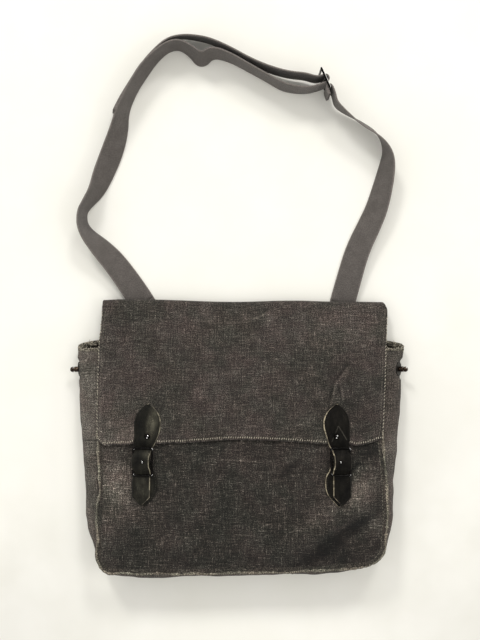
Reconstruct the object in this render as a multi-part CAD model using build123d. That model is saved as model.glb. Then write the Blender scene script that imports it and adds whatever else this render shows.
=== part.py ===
"""Mail sack: a postman's canvas satchel with a hinged flap, two leather closures and a webbing shoulder strap.

Frame: the sack lies on its back. +X is to the right, +Y runs from the bottom seam to the folded top,
+Z points out of the front. The origin is under the middle of the sack, on the surface it lies on.
Lengths are in millimetres.
"""
from build123d import *
from math import atan, atan2, cos, degrees, hypot, radians, sin, sqrt, tan
import os

# ---- cloth body -------------------------------------------------------------
PANEL_HALF = 187.0          # half width of the front and back panels, seam to seam
BOTTOM_Y = -173.5           # bottom seam
MOUTH_Y = 129.0             # top edge of the front panel
TOP_Y = 189.5               # outermost line of the folded top
CLOTH = 2.0                 # canvas, with its lining
BACK_THICK = 3.0
CORNER = 16.0               # plan radius of the bottom corners
WELT = 6.0                  # width of the raised seam allowance
DEPTH = ((MOUTH_Y, 24.0), (0.0, 44.0), (BOTTOM_Y, 52.0))    # (y, height of the front face)

GUSSET_THICK = 1.6
FOLD_OUT_MOUTH = {"left": 35.5, "right": 38.0}      # how far each gusset stands out past the panels at the mouth
FOLD_OUT_BOTTOM = 16.0                              # and at the bottom seam
FOLD_LEAN = {"left": 0.0, "right": 10.0}    # how far the top of the gusset's outer face leans in
HEM = 14.0

# ---- flap -------------------------------------------------------------------
FLAP_HALF = 192.0
FLAP_HEM_Y = -2.0
FLAP_GAP = 2.6              # between the front panel and the underside of the flap
ROLL_R = 8.0                # outer radius of the folded top
ROLL_CLEAR = 0.4
ROLL_Y = TOP_Y - ROLL_R
ROLL_Z = BACK_THICK + ROLL_CLEAR + ROLL_R

# ---- closures ---------------------------------------------------------------
CLOSURE_Y = -29.5           # the buckles' centre bars
CLOSURES = {"left": (-130.0, 1), "right": (134.6, -1)}      # (x, direction of the sack's middle)
STRAP_HALF = 11.25
LEATHER = 2.0
BAR_R = 1.2
BAR_S = 18.0                # end bars, each side of the centre bar
RAIL_X = 12.8
FRAME_N = 5.65              # height of the buckle's frame above the front panel
CENTRE_N = 3.2
TAB_SHIFT = 1.3
TAB_LEAN = 7.5              # degrees, towards the middle of the sack
TAB_TIP_S = 75.7
STUD_X = 6.0
STUD_S = 33.8
STUD_HEAD_R = 3.7
STUD_NECK_R = 1.9
TAIL_SHIFT = 1.5
TAIL_TIP_S = -57.5
BASE_SHIFT = 2.7

# ---- studs on the gussets ---------------------------------------------------
GUSSET_STUD_Y = 93.0
STUD_PATCH = 10.0           # half the length of gusset that sets the stud's direction
WASHER_R = 10.0
WASHER_THICK = 1.2
WASHER_LIFT = 0.3
BARREL_R = 3.7
BARREL = 6.5

# ---- shoulder strap ---------------------------------------------------------
WEB = 35.0
WEB_THICK = 2.2
SEWN = 76.0
SLIDER_AT = (115.7, 488.2)
SLIDER_TURN = 24.0          # degrees from +Y to the line through the slider's three bars
SLIDER_PITCH = 13.5
SLIDER_BAR_R = 1.6
SLIDER_TALL = 42.0

LONG_FLAT = [(-135.0, 183.0), (-150.0, 207.0), (-173.0, 239.0), (-189.5, 257.0)]
LONG_EDGE = [
    (-216.0, 284.0), (-218.5, 308.0), (-210.5, 321.0), (-198.0, 338.0), (-189.0, 362.0), (-177.0, 392.0),
    (-167.0, 422.0), (-162.0, 450.0), (-148.0, 480.0), (-133.5, 503.5), (-119.0, 521.0), (-101.0, 536.5),
    (-84.0, 540.5), (-67.5, 531.0), (-53.5, 517.0), (-38.5, 530.0), (-14.0, 522.5), (11.0, 508.5),
    (37.0, 494.0), (58.0, 481.5), (77.0, 477.0), (93.5, 476.0),
]
TAIL_EDGE = [
    (89.5, 495.2), (71.0, 497.0), (53.5, 501.0), (30.5, 509.0), (11.0, 518.0), (-14.0, 532.5), (-38.5, 544.0),
    (-58.0, 549.0), (-80.0, 551.0), (-102.0, 546.5), (-124.0, 528.0), (-141.0, 507.0), (-156.0, 483.0),
    (-168.5, 461.5), (-174.5, 447.5),
]
SHORT_FLAT = [(142.5, 183.0), (150.0, 212.0), (163.0, 258.0), (180.0, 293.0), (191.5, 320.0)]
SHORT_EDGE = [(204.0, 374.0), (203.0, 396.0), (190.0, 417.0), (167.0, 431.5), (145.0, 446.0), (131.5, 457.0)]
EXITS = {"left": LONG_FLAT[:2], "right": SHORT_FLAT[:2]}     # where each end leaves the back, and its next point


# ---- the front's curve ------------------------------------------------------
def circle_through(a, b, c):
    """Centre and radius of the circle through three points."""
    (ax, ay), (bx, by), (cx, cy) = a, b, c
    d = 2 * (ax * (by - cy) + bx * (cy - ay) + cx * (ay - by))
    sa, sb, sc = ax * ax + ay * ay, bx * bx + by * by, cx * cx + cy * cy
    x = (sa * (by - cy) + sb * (cy - ay) + sc * (ay - by)) / d
    y = (sa * (cx - bx) + sb * (ax - cx) + sc * (bx - ax)) / d
    return x, y, hypot(ax - x, ay - y)


FRONT_CY, FRONT_CZ, FRONT_R = circle_through(*DEPTH)


def front_z(y):
    """Height of the front panel's outer face."""
    return FRONT_CZ + sqrt(FRONT_R**2 - (y - FRONT_CY) ** 2)


def front_slope(y):
    return -(y - FRONT_CY) / (front_z(y) - FRONT_CZ)


def front_arc(y0, y1, lift):
    """The front's curve from y0 to y1, lifted, as an edge in the YZ plane."""
    ends = [(y, front_z(y) + lift) for y in (y0, (y0 + y1) / 2, y1)]
    return ThreePointArc(*ends)


def extruded_yz(edges, half):
    return extrude(Plane.YZ * make_face(edges), half, both=True)


def front_strip(y0, y1, low, high, half):
    """A plate that follows the front's curve between two lifts."""
    edges = front_arc(y0, y1, low) + front_arc(y0, y1, high)
    for y in (y0, y1):
        edges += Line((y, front_z(y) + low), (y, front_z(y) + high))
    return extruded_yz(edges, half)


def rounded_bottom(plate, radius):
    """Round the two plan corners at the plate's bottom edge."""
    return fillet(plate.edges().filter_by(Axis.Z).group_by(Axis.Y)[0], radius)


def plan_plate(half, y0, y1, z0, z1, radius):
    plate = Pos(0, (y0 + y1) / 2, (z0 + z1) / 2) * Box(2 * half, y1 - y0, z1 - z0)
    return rounded_bottom(plate, radius)


# ---- body pieces ------------------------------------------------------------
def front_panel():
    return rounded_bottom(front_strip(BOTTOM_Y, MOUTH_Y, -CLOTH, 0, PANEL_HALF), CORNER)


def front_seam_welt():
    outer = rounded_bottom(front_strip(BOTTOM_Y - WELT, MOUTH_Y, -1.8, 0.8, PANEL_HALF + WELT), CORNER + WELT)
    return outer - plan_plate(PANEL_HALF + 0.1, BOTTOM_Y - 0.1, MOUTH_Y + WELT, 0, 80, CORNER)


def back_seam_welt():
    outer = plan_plate(PANEL_HALF + WELT, BOTTOM_Y - WELT, MOUTH_Y, 0, 2.4, CORNER + WELT)
    return outer - plan_plate(PANEL_HALF + 0.1, BOTTOM_Y - 0.1, MOUTH_Y + WELT, -1, 4, CORNER)


def strap_end_box(side, width, length, height, back):
    """A box along a strap's sewn end, from just outside its exit to back along the panel."""
    (x, y), (ahead_x, ahead_y) = EXITS[side]
    turn = degrees(atan2(x - ahead_x, ahead_y - y))
    return Pos(x, y, 0) * Rot(0, 0, turn) * Pos(0, back - length / 2, height / 2) * Box(width, length, height)


def back_panel():
    plate = plan_plate(PANEL_HALF, BOTTOM_Y, ROLL_Y - 5.0, 0, BACK_THICK, CORNER)
    for side in EXITS:
        plate -= strap_end_box(side, WEB + 1.0, SEWN + 20.5, WEB_THICK + 0.2, 20.0)
    return plate


def strap_end(side):
    return strap_end_box(side, WEB, SEWN, WEB_THICK, 0.0)


def mouth_hem():
    return front_strip(MOUTH_Y - HEM, MOUTH_Y, -CLOTH - 1.3, -CLOTH - 0.05, PANEL_HALF - 8)


def gusset_line(y, side):
    """A gusset's outer line at y, as (outward from the seam, height), from the front seam to the back."""
    share = (y - BOTTOM_Y) / (MOUTH_Y - BOTTOM_Y)
    out = FOLD_OUT_BOTTOM + share * (FOLD_OUT_MOUTH[side] - FOLD_OUT_BOTTOM)
    top, low = front_z(y) - CLOTH - 0.4, BACK_THICK + 0.2
    lean = FOLD_LEAN[side] * share
    return [(0, top), (out - lean, low + 0.8 * (top - low)), (out, low + 0.2 * (top - low)), (0, low)]


def inset(line, by):
    """The line moved inward by a distance, with mitred corners."""
    normals = []
    for (x0, z0), (x1, z1) in zip(line, line[1:]):
        run = hypot(x1 - x0, z1 - z0)
        normals.append(((z1 - z0) / run, -(x1 - x0) / run))
    moved = [(line[0][0] + by * normals[0][0], line[0][1] + by * normals[0][1])]
    for (x, z), (ax, az), (bx, bz) in zip(line[1:-1], normals, normals[1:]):
        share = by / (1 + ax * bx + az * bz)
        moved.append((x + share * (ax + bx), z + share * (az + bz)))
    moved.append((line[-1][0] + by * normals[-1][0], line[-1][1] + by * normals[-1][1]))
    return moved


def gusset_section(line, depths, place):
    """A closed face between two insets of a gusset line, with place giving each point's x, y and z."""
    ring = inset(line, depths[0]) + inset(line, depths[1])[::-1]
    return make_face(Polyline(*[place(out, z) for out, z in ring], close=True))


def side_place(y, sign):
    return lambda out, z: (sign * (PANEL_HALF + out), y, z)


def corner_place(sign):
    return lambda out, z: (sign * (PANEL_HALF + out), BOTTOM_Y - out, z)


def gusset(side):
    sign = -1 if side == "left" else 1
    ys = [MOUTH_Y, 70.0, 0.0, -70.0, -130.0]
    depths = (0, GUSSET_THICK)
    sections = [gusset_section(gusset_line(y, side), depths, side_place(y, sign)) for y in ys]
    sections.append(gusset_section(gusset_line(BOTTOM_Y, side), depths, corner_place(sign)))
    point, normal = stud_seat(side)
    hole = Plane(point, z_dir=normal) * Cylinder(1.8, 30)
    return loft(sections, ruled=True) - hole


def gusset_bottom():
    line = gusset_line(BOTTOM_Y, "left")
    ends = [gusset_section(line, (0, GUSSET_THICK), corner_place(sign)) for sign in (-1, 1)]
    return loft(ends, ruled=True)


def gusset_hem(side):
    sign = -1 if side == "left" else 1
    depths = (GUSSET_THICK + 0.5, GUSSET_THICK + 1.5)
    ys = (MOUTH_Y, MOUTH_Y - HEM)
    return loft([gusset_section(gusset_line(y, side), depths, side_place(y, sign)) for y in ys], ruled=True)


# ---- studs on the gussets ---------------------------------------------------
def stud_seat(side):
    """Middle of the gusset's outer face at the stud, and the face's outward normal."""
    sign = -1 if side == "left" else 1
    corners = []
    for y in (GUSSET_STUD_Y - STUD_PATCH, GUSSET_STUD_Y + STUD_PATCH):
        corners += [Vector(sign * (PANEL_HALF + out), y, z) for out, z in gusset_line(y, side)[1:3]]
    top_near, low_near, top_far, low_far = corners
    normal = (top_far - low_near).cross(top_near - low_far).normalized()
    middle = (top_near + low_near + top_far + low_far) / 4
    return middle, normal * (1 if normal.X * sign > 0 else -1)


def seated(side, shape):
    point, normal = stud_seat(side)
    return Plane(point, z_dir=normal) * shape


def disc(radius, low, high):
    return Pos(0, 0, (low + high) / 2) * Cylinder(radius, high - low)


def ball_head(low, high):
    """A ball stud's head, flat underneath, with its neck running down into the foot."""
    ball = Pos(0, 0, high - STUD_HEAD_R) * Sphere(STUD_HEAD_R)
    return ball - disc(2 * STUD_HEAD_R, low - 3 * STUD_HEAD_R, low) + disc(STUD_NECK_R, low - 2.4, low + 1.0)


def gusset_washer(side):
    ring = disc(WASHER_R, WASHER_LIFT, WASHER_LIFT + WASHER_THICK) - Cylinder(2.2, 10)
    return seated(side, fillet(ring.edges().group_by(Axis.Z)[-1], 0.5))


def gusset_stud(side):
    """Barrel collar, neck and ball head, with a blind bore for its screw."""
    foot = WASHER_LIFT + WASHER_THICK + 0.05
    collar = disc(BARREL_R, foot, foot + BARREL)
    collar = fillet(collar.edges().filter_by(GeomType.CIRCLE), 0.7)
    return seated(side, collar + ball_head(foot + BARREL + 1.1, foot + BARREL + 5.9) - disc(1.6, foot, foot + 5.0))


def gusset_screw(side):
    """Screw and washer on the inside of the gusset."""
    inside = -GUSSET_THICK - 0.3
    return seated(side, disc(1.5, inside - 0.6, WASHER_LIFT + WASHER_THICK + 4.0) + disc(5.0, inside - 1.2, inside))


# ---- flap -------------------------------------------------------------------
def flap():
    low = front_arc(FLAP_HEM_Y, MOUTH_Y, FLAP_GAP)
    high = front_arc(FLAP_HEM_Y, MOUTH_Y, FLAP_GAP + CLOTH)
    hem_z, mouth_z = front_z(FLAP_HEM_Y) + FLAP_GAP, front_z(MOUTH_Y) + FLAP_GAP
    inner = ROLL_R - CLOTH
    edges = low + high + Line((FLAP_HEM_Y, hem_z), (FLAP_HEM_Y, hem_z + CLOTH))
    edges += Line((MOUTH_Y, mouth_z), (ROLL_Y, ROLL_Z + inner))
    edges += ThreePointArc((ROLL_Y, ROLL_Z + inner), (ROLL_Y + inner, ROLL_Z), (ROLL_Y, ROLL_Z - inner))
    edges += Line((ROLL_Y, ROLL_Z - inner), (ROLL_Y, ROLL_Z - ROLL_R))
    edges += ThreePointArc((ROLL_Y, ROLL_Z - ROLL_R), (ROLL_Y + ROLL_R, ROLL_Z), (ROLL_Y, ROLL_Z + ROLL_R))
    edges += Line((ROLL_Y, ROLL_Z + ROLL_R), (MOUTH_Y, mouth_z + CLOTH))
    plate = extruded_yz(edges, FLAP_HALF)
    for side in CLOSURES:
        plate -= stud_hole(side)
    return plate


def flap_hem():
    strip = front_strip(FLAP_HEM_Y, FLAP_HEM_Y + HEM, FLAP_GAP - 1.25, FLAP_GAP - 0.05, FLAP_HALF)
    for side in CLOSURES:
        strip -= stud_hole(side)
    return strip


# ---- closures: local x across, y (s) towards the top, z (n) out of the front --
def closure_plane(side):
    x = CLOSURES[side][0]
    tilt = atan(front_slope(CLOSURE_Y))
    return Plane((x, CLOSURE_Y, front_z(CLOSURE_Y)), x_dir=(1, 0, 0), z_dir=(0, -sin(tilt), cos(tilt)))


def closure(side, shape):
    return closure_plane(side) * shape


def outline_plate(right_side, low, high, shift=0.0):
    """A plate from the right-hand half of its outline, mirrored about x = 0."""
    half = make_face(right_side)
    whole = half + mirror(half, Plane.YZ)
    return Pos(shift, 0, low) * extrude(whole, high - low)


def base_tab(side):
    """Teardrop base sewn to the front panel, point down."""
    m = CLOSURES[side][1]
    edges = Line((0, -3.2), (9.5, -3.2)) + ThreePointArc((9.5, -3.2), (13.6, -10.5), (16.0, -21.0))
    edges += ThreePointArc((16.0, -21.0), (12.0, -41.5), (0, -58.5)) + Line((0, -58.5), (0, -3.2))
    return closure(side, outline_plate(edges, 0.1, 1.9, m * BASE_SHIFT))


def chape(side):
    """Leather loop round the buckle's centre bar, with its sewn end on the base."""
    ring = Pos(0, 0, CENTRE_N) * Rot(0, 90, 0) * Cylinder(2.8, 19)
    ply = Pos(0, -5.2, 2.6) * Box(19, 9.6, 1.3)
    bore = Pos(0, 0, CENTRE_N) * Rot(0, 90, 0) * Cylinder(BAR_R + 0.2, 30)
    slot = Pos(0, 0, CENTRE_N + 3) * Cylinder(1.7, 6)
    return closure(side, ring + ply - bore - slot)


def buckle(side):
    """Rod frame with rounded corners and a lower centre bar."""
    path = RectangleRounded(2 * RAIL_X, 2 * BAR_S, 2.5).wire()
    rod = Pos(0, 0, FRAME_N) * sweep(Plane(path @ 0, z_dir=path % 0) * Circle(BAR_R), path)
    rod += Pos(0, 0, CENTRE_N) * Rot(0, 90, 0) * Cylinder(BAR_R, 2 * RAIL_X)
    for x in (-RAIL_X, RAIL_X):
        rod += Pos(x, 0, (CENTRE_N + FRAME_N) / 2) * Cylinder(BAR_R, FRAME_N - CENTRE_N)
    return closure(side, rod)


def buckle_post(side):
    """Fixed post on the centre bar that the strap's hole drops over."""
    low, high = CENTRE_N + BAR_R + 0.05, 9.3
    post = Pos(0, 0, (low + high) / 2) * Cylinder(1.1, high - low)
    return closure(side, post + Pos(0, 0, high) * Sphere(1.8))


def strap_loop(side):
    """The strap between the end bars, humped over the centre bar."""
    hump = ThreePointArc((17.0, 3.3), (0, 7.2), (-17.0, 3.05))
    band = extruded_yz(trace(hump, LEATHER).edges(), STRAP_HALF)
    return closure(side, band - Pos(0, 0, 7) * Cylinder(1.5, 8))


def strap_tip(side):
    """The strap's free end below the buckle, with its point."""
    m = CLOSURES[side][1]
    edges = Polyline((0, -20.0), (STRAP_HALF, -20.0), (STRAP_HALF, -46.5), (0, TAIL_TIP_S), close=True)
    return closure(side, outline_plate(edges, 2.0, 2.0 + LEATHER, -m * TAIL_SHIFT))


def pull_tab(side):
    """Teardrop pull tab above the buckle, buttoned over the flap's ball stud."""
    m = CLOSURES[side][1]
    edges = Line((0, 20.0), (STRAP_HALF, 20.0)) + ThreePointArc((STRAP_HALF, 20.0), (14.9, 34.0), (16.6, 50.0))
    edges += ThreePointArc((16.6, 50.0), (12.2, 65.0), (0, TAB_TIP_S)) + Line((0, TAB_TIP_S), (0, 20.0))
    plan = outline_plate(edges, -5, 20)
    profile = Polyline((18.0, 2.7), (27.0, 5.85), (80.0, 4.0))
    band = extruded_yz(trace(profile, LEATHER).edges(), 30)
    lean = Pos(m * TAB_SHIFT, BAR_S, 0) * Rot(0, 0, -m * TAB_LEAN) * Pos(0, -BAR_S, 0)
    hole = Pos(m * STUD_X, STUD_S + 0.5, 6) * Cylinder(STUD_HEAD_R + 0.6, 12)
    return closure(side, lean * (plan & band) - hole)


# ---- studs on the flap ------------------------------------------------------
def on_stud(side, shape):
    m = CLOSURES[side][1]
    return closure(side, Pos(m * STUD_X, STUD_S, 0) * shape)


def stud_hole(side):
    return on_stud(side, disc(1.7, -3.0, 9.0))


def flap_stud(side):
    """Ball stud on the flap, with a foot that sits inside the pull tab's hole."""
    return on_stud(side, disc(3.4, 4.6, 5.2) + ball_head(7.2, 13.0))


def flap_stud_screw(side):
    """Shank and thin head under the flap's hem."""
    return on_stud(side, disc(4.5, 0.1, 0.6) + disc(1.5, 0.3, 4.55))


# ---- shoulder strap ---------------------------------------------------------
def turn_degrees(a, b, c):
    return Vector(b[0] - a[0], b[1] - a[1]).get_angle(Vector(c[0] - b[0], c[1] - b[1]))


def filleted(points, name):
    """Straight runs joined by tangent arcs, each as large as its two runs allow."""
    radii = []
    for a, b, c in zip(points, points[1:], points[2:]):
        shorter = min(hypot(b[0] - a[0], b[1] - a[1]), hypot(c[0] - b[0], c[1] - b[1]))
        radii.append(0.45 * shorter / tan(radians(turn_degrees(a, b, c) / 2)))
    print(name, "radii", [round(r, 1) for r in radii])
    return FilletPolyline(*points, radius=radii)


def ribbon(points, across, low, high, name):
    """A band along the points, across wide in plan, between two heights."""
    path = filleted(points, name)
    solid = Pos(0, 0, low) * extrude(trace(path, across), high - low)
    whole = across * path.length * (high - low)
    print(name, "length", round(path.length, 1), "volume share", round(solid.volume / whole, 4))
    return solid


def cross_section(at, toward, across, low, high):
    """An upright rectangle through a plan point, square to the direction."""
    run = hypot(*toward)
    nx, ny = -toward[1] / run * across / 2, toward[0] / run * across / 2
    x, y = at
    corners = [(x + nx, y + ny, low), (x - nx, y - ny, low), (x - nx, y - ny, high), (x + nx, y + ny, high)]
    return make_face(Polyline(*corners, close=True))


def twist(a0, a1, b0, b1):
    """The strap turning from flat, past a0 and a1, to standing on edge, at b0 on its way to b1."""
    flat = cross_section(a1, (a1[0] - a0[0], a1[1] - a0[1]), WEB, 0, WEB_THICK)
    edge = cross_section(b0, (b1[0] - b0[0], b1[1] - b0[1]), WEB_THICK, 0, WEB)
    return loft([flat, edge], ruled=True)


def slider_point(along, out):
    """A plan point near the slider: along its line of bars, and out to the right of it."""
    t = radians(SLIDER_TURN)
    x, y = SLIDER_AT
    return (x - along * sin(t) + out * cos(t), y + along * cos(t) + out * sin(t))


def clear_of_slider(band):
    """Lift the band's lower edge over the slider's bottom rail."""
    x, y = SLIDER_AT
    return band - Pos(x, y, 0) * Rot(0, 0, SLIDER_TURN) * Box(26, 38, 6.8)


def shoulder_strap_long():
    points = LONG_EDGE + [slider_point(-5.0, -10.0), slider_point(-5.0, 4.8), slider_point(0, 4.8)]
    flat = ribbon(LONG_FLAT, WEB, 0, WEB_THICK, "long, flat")
    edge = clear_of_slider(ribbon(points, WEB_THICK, 0, WEB, "long, on edge"))
    return flat + twist(LONG_FLAT[-2], LONG_FLAT[-1], LONG_EDGE[0], LONG_EDGE[1]) + edge


def shoulder_strap_tail():
    points = [slider_point(0, 4.8), slider_point(5.0, 4.8), slider_point(5.6, -9.0)] + TAIL_EDGE
    return clear_of_slider(ribbon(points, WEB_THICK, 0, WEB, "tail"))


def shoulder_strap_short():
    a = -SLIDER_PITCH
    loop = [slider_point(a + 4.2, 4.4), slider_point(a + 4.2, -4.4), slider_point(a - 9.0, -4.4)]
    points = SHORT_EDGE + [slider_point(a - 9.0, 4.4)] + loop
    flat = ribbon(SHORT_FLAT, WEB, 0, WEB_THICK, "short, flat")
    edge = clear_of_slider(ribbon(points, WEB_THICK, 0, WEB, "short, on edge"))
    return flat + twist(SHORT_FLAT[-2], SHORT_FLAT[-1], SHORT_EDGE[0], SHORT_EDGE[1]) + edge


def strap_slider():
    """Three upright bars between two rails, standing on the strap's edge."""
    r, reach = SLIDER_BAR_R, SLIDER_TALL - 2 * SLIDER_BAR_R
    frame = None
    for z in (r, SLIDER_TALL - r):
        rail = Pos(0, 0, z) * Rot(90, 0, 0) * Cylinder(r, 2 * SLIDER_PITCH)
        frame = rail if frame is None else frame + rail
    for y in (-SLIDER_PITCH, 0, SLIDER_PITCH):
        frame += Pos(0, y, SLIDER_TALL / 2) * Cylinder(r, reach)
    for y in (-SLIDER_PITCH, SLIDER_PITCH):
        for z in (r, SLIDER_TALL - r):
            frame += Pos(0, y, z) * Sphere(r)
    x, y = SLIDER_AT
    return Pos(x, y, 0) * Rot(0, 0, SLIDER_TURN) * frame


# ---- write every piece ------------------------------------------------------
SINGLE = [
    back_panel, front_panel, gusset_bottom, front_seam_welt, back_seam_welt, mouth_hem, flap, flap_hem,
    shoulder_strap_long, shoulder_strap_tail, shoulder_strap_short, strap_slider,
]
PAIRED = [
    gusset, gusset_hem, gusset_stud, gusset_washer, gusset_screw, base_tab, chape, buckle, buckle_post,
    strap_loop, strap_tip, pull_tab, flap_stud, flap_stud_screw, strap_end,
]


def main():
    os.makedirs("parts", exist_ok=True)
    for make in SINGLE:
        export_step(make(), f"parts/{make.__name__}.step")
    for make in PAIRED:
        for side in ("left", "right"):
            export_step(make(side), f"parts/{make.__name__}_{side}.step")
    for side in CLOSURES:
        for name, s in (("top", BAR_S), ("bottom", -BAR_S)):
            at = closure_plane(side).from_local_coords((0, s, FRAME_N))
            print(side, name, "bar at", [round(v, 3) for v in at])
    print("flap roll at", round(ROLL_Y, 3), round(ROLL_Z, 3), "front slope", round(front_slope(CLOSURE_Y), 4))


main()
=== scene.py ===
"""Looks of the mail sack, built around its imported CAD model: cloth, leather, webbing, stitches and metal.

Same frame as the CAD: the sack lies on its back, +X right, +Y up towards the folded top, +Z out of the front.
Lengths are in metres unless a name says otherwise.
"""
import math

import bmesh
import bpy
import numpy as np
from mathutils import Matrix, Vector
from mathutils.bvhtree import BVHTree


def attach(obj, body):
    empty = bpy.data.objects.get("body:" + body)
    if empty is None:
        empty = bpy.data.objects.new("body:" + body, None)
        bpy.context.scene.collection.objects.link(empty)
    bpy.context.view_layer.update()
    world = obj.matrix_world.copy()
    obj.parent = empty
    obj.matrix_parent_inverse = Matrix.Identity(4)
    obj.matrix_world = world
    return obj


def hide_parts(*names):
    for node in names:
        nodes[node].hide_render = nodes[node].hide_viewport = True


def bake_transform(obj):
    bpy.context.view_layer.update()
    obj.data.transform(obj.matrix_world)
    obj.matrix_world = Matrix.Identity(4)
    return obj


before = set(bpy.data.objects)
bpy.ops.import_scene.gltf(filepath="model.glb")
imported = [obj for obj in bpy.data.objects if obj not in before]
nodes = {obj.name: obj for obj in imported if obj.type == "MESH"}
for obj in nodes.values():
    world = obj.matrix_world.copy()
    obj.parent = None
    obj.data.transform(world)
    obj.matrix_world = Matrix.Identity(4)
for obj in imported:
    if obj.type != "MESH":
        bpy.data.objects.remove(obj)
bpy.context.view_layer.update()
MM = 0.001

# ---- camera: straight down over the middle of the picture --------------------
CAMERA_HEIGHT = 1.2
VIEW_CENTRE_Y = 0.1605
HALF_VIEW = math.radians(20.43)         # half the picture's long side
SENSOR = 36.0

camera_data = bpy.data.cameras.new("camera")
camera_data.sensor_width = SENSOR
camera_data.lens = SENSOR / 2 / math.tan(HALF_VIEW)
camera = bpy.data.objects.new("camera", camera_data)
camera.location = (0.0, VIEW_CENTRE_Y, CAMERA_HEIGHT)
bpy.context.scene.collection.objects.link(camera)
bpy.context.scene.camera = camera
bpy.context.scene.view_settings.view_transform = "Standard"


# ---- shapes of the CAD that the cloth follows --------------------------------
DEPTH = ((0.129, 0.024), (0.0, 0.044), (-0.1735, 0.052))
BOTTOM_Y = -0.1735
MOUTH_Y = 0.129
ROLL_Y, ROLL_Z, ROLL_R = 0.1815, 0.0114, 0.007
FLAP_LIFT = 0.0036                      # middle of the flap's cloth above the front panel
CLOTH = 0.0016
MOUTH_HEM, MOUTH_HEM_EXTRA = 0.014, 0.0010
WELT = 0.0068                           # width of the raised seams
CORNERS = {"left": 0.019, "right": 0.021}
BOTTOM_RISE = (
    (-0.02, 0.0), (0.06, 0.0018), (0.1, 0.0036), (0.147, 0.0072), (0.187, 0.0115),
)


def circle_through(a, b, c):
    """Centre and radius of the circle through three points."""
    (ax, ay), (bx, by), (cx, cy) = a, b, c
    d = 2 * (ax * (by - cy) + bx * (cy - ay) + cx * (ay - by))
    sa, sb, sc = ax * ax + ay * ay, bx * bx + by * by, cx * cx + cy * cy
    x = (sa * (by - cy) + sb * (cy - ay) + sc * (ay - by)) / d
    y = (sa * (cx - bx) + sb * (ax - cx) + sc * (bx - ax)) / d
    return x, y, math.hypot(ax - x, ay - y)


FRONT_CY, FRONT_CZ, FRONT_R = circle_through(*DEPTH)


def front_z(y):
    """Height of the front panel's outer face."""
    return FRONT_CZ + np.sqrt(FRONT_R**2 - (np.asarray(y, float) - FRONT_CY) ** 2)


# ---- small numeric helpers ---------------------------------------------------
RIPPLE_WAVES = 14
UP = np.array([0.0, 0.0, 1.0])


def unit(v):
    """The vectors scaled to length 1."""
    return v / np.maximum(np.linalg.norm(v, axis=-1, keepdims=True), 1e-12)


def smooth(t):
    """A soft step from 0 at t = 0 to 1 at t = 1."""
    t = np.clip(t, 0.0, 1.0)
    return t * t * (3 - 2 * t)


def along(points):
    """Distance along a line of points."""
    steps = np.linalg.norm(np.diff(points, axis=0), axis=1)
    return np.concatenate([[0.0], np.cumsum(steps)])


def points_at(points, far, s):
    """A line's points at distances s along it; far is the distance of each of its own points."""
    return np.stack([np.interp(s, far, points[:, i]) for i in range(3)], -1)


def resampled(line, step):
    """A line's points at an even step."""
    far = along(line)
    return points_at(line, far, np.arange(0, far[-1], step))


def ripple(x, y, wavelength, seed):
    """Smooth seeded unevenness of about unit height."""
    rng = np.random.default_rng(seed)
    total = 0.0
    for _ in range(RIPPLE_WAVES):
        turn, phase = rng.uniform(0, 2 * math.pi, 2)
        k = 2 * math.pi / (wavelength * rng.uniform(0.7, 1.5))
        total = total + np.sin(k * (x * math.cos(turn) + y * math.sin(turn)) + phase)
    return total / math.sqrt(RIPPLE_WAVES)


def ridge(x, y, a, b, width, height, steep=1.0):
    """A soft fold along the line from a to b; steep narrows its side to the right of the way from a to b."""
    dx, dy = b[0] - a[0], b[1] - a[1]
    t = np.clip(((x - a[0]) * dx + (y - a[1]) * dy) / (dx * dx + dy * dy), 0, 1)
    off = np.hypot(x - a[0] - t * dx, y - a[1] - t * dy)
    wide = np.where((x - a[0]) * dy > (y - a[1]) * dx, width * steep, width)
    return height * np.exp(-((off / wide) ** 2)) * (0.35 + 0.65 * np.sin(math.pi * t))


# ---- mesh makers -------------------------------------------------------------
def mesh_object(name, points, faces, uv, materials, face_slots=None):
    """A smooth shaded mesh, with one UV point for each of its points."""
    mesh = bpy.data.meshes.new(name)
    mesh.from_pydata([tuple(p) for p in points], [], faces)
    layer = mesh.uv_layers.new(name="cloth")
    corner = np.zeros(len(mesh.loops), np.int32)
    mesh.loops.foreach_get("vertex_index", corner)
    layer.data.foreach_set("uv", np.asarray(uv, np.float32)[corner].ravel())
    for m in materials:
        mesh.materials.append(m)
    if face_slots is not None:
        mesh.polygons.foreach_set("material_index", np.asarray(face_slots, np.int32))
    mesh.polygons.foreach_set("use_smooth", np.ones(len(mesh.polygons), bool))
    mesh.validate()
    mesh.update()
    made = bpy.data.objects.new(name, mesh)
    bpy.context.scene.collection.objects.link(made)
    return made


def belongs(piece, body, slot, *replaced):
    """The body a piece rides on, if any, and the CAD nodes it stands for, which it hides; slot is not used."""
    if body:
        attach(piece, body)
    if replaced:
        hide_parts(*replaced)


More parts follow.
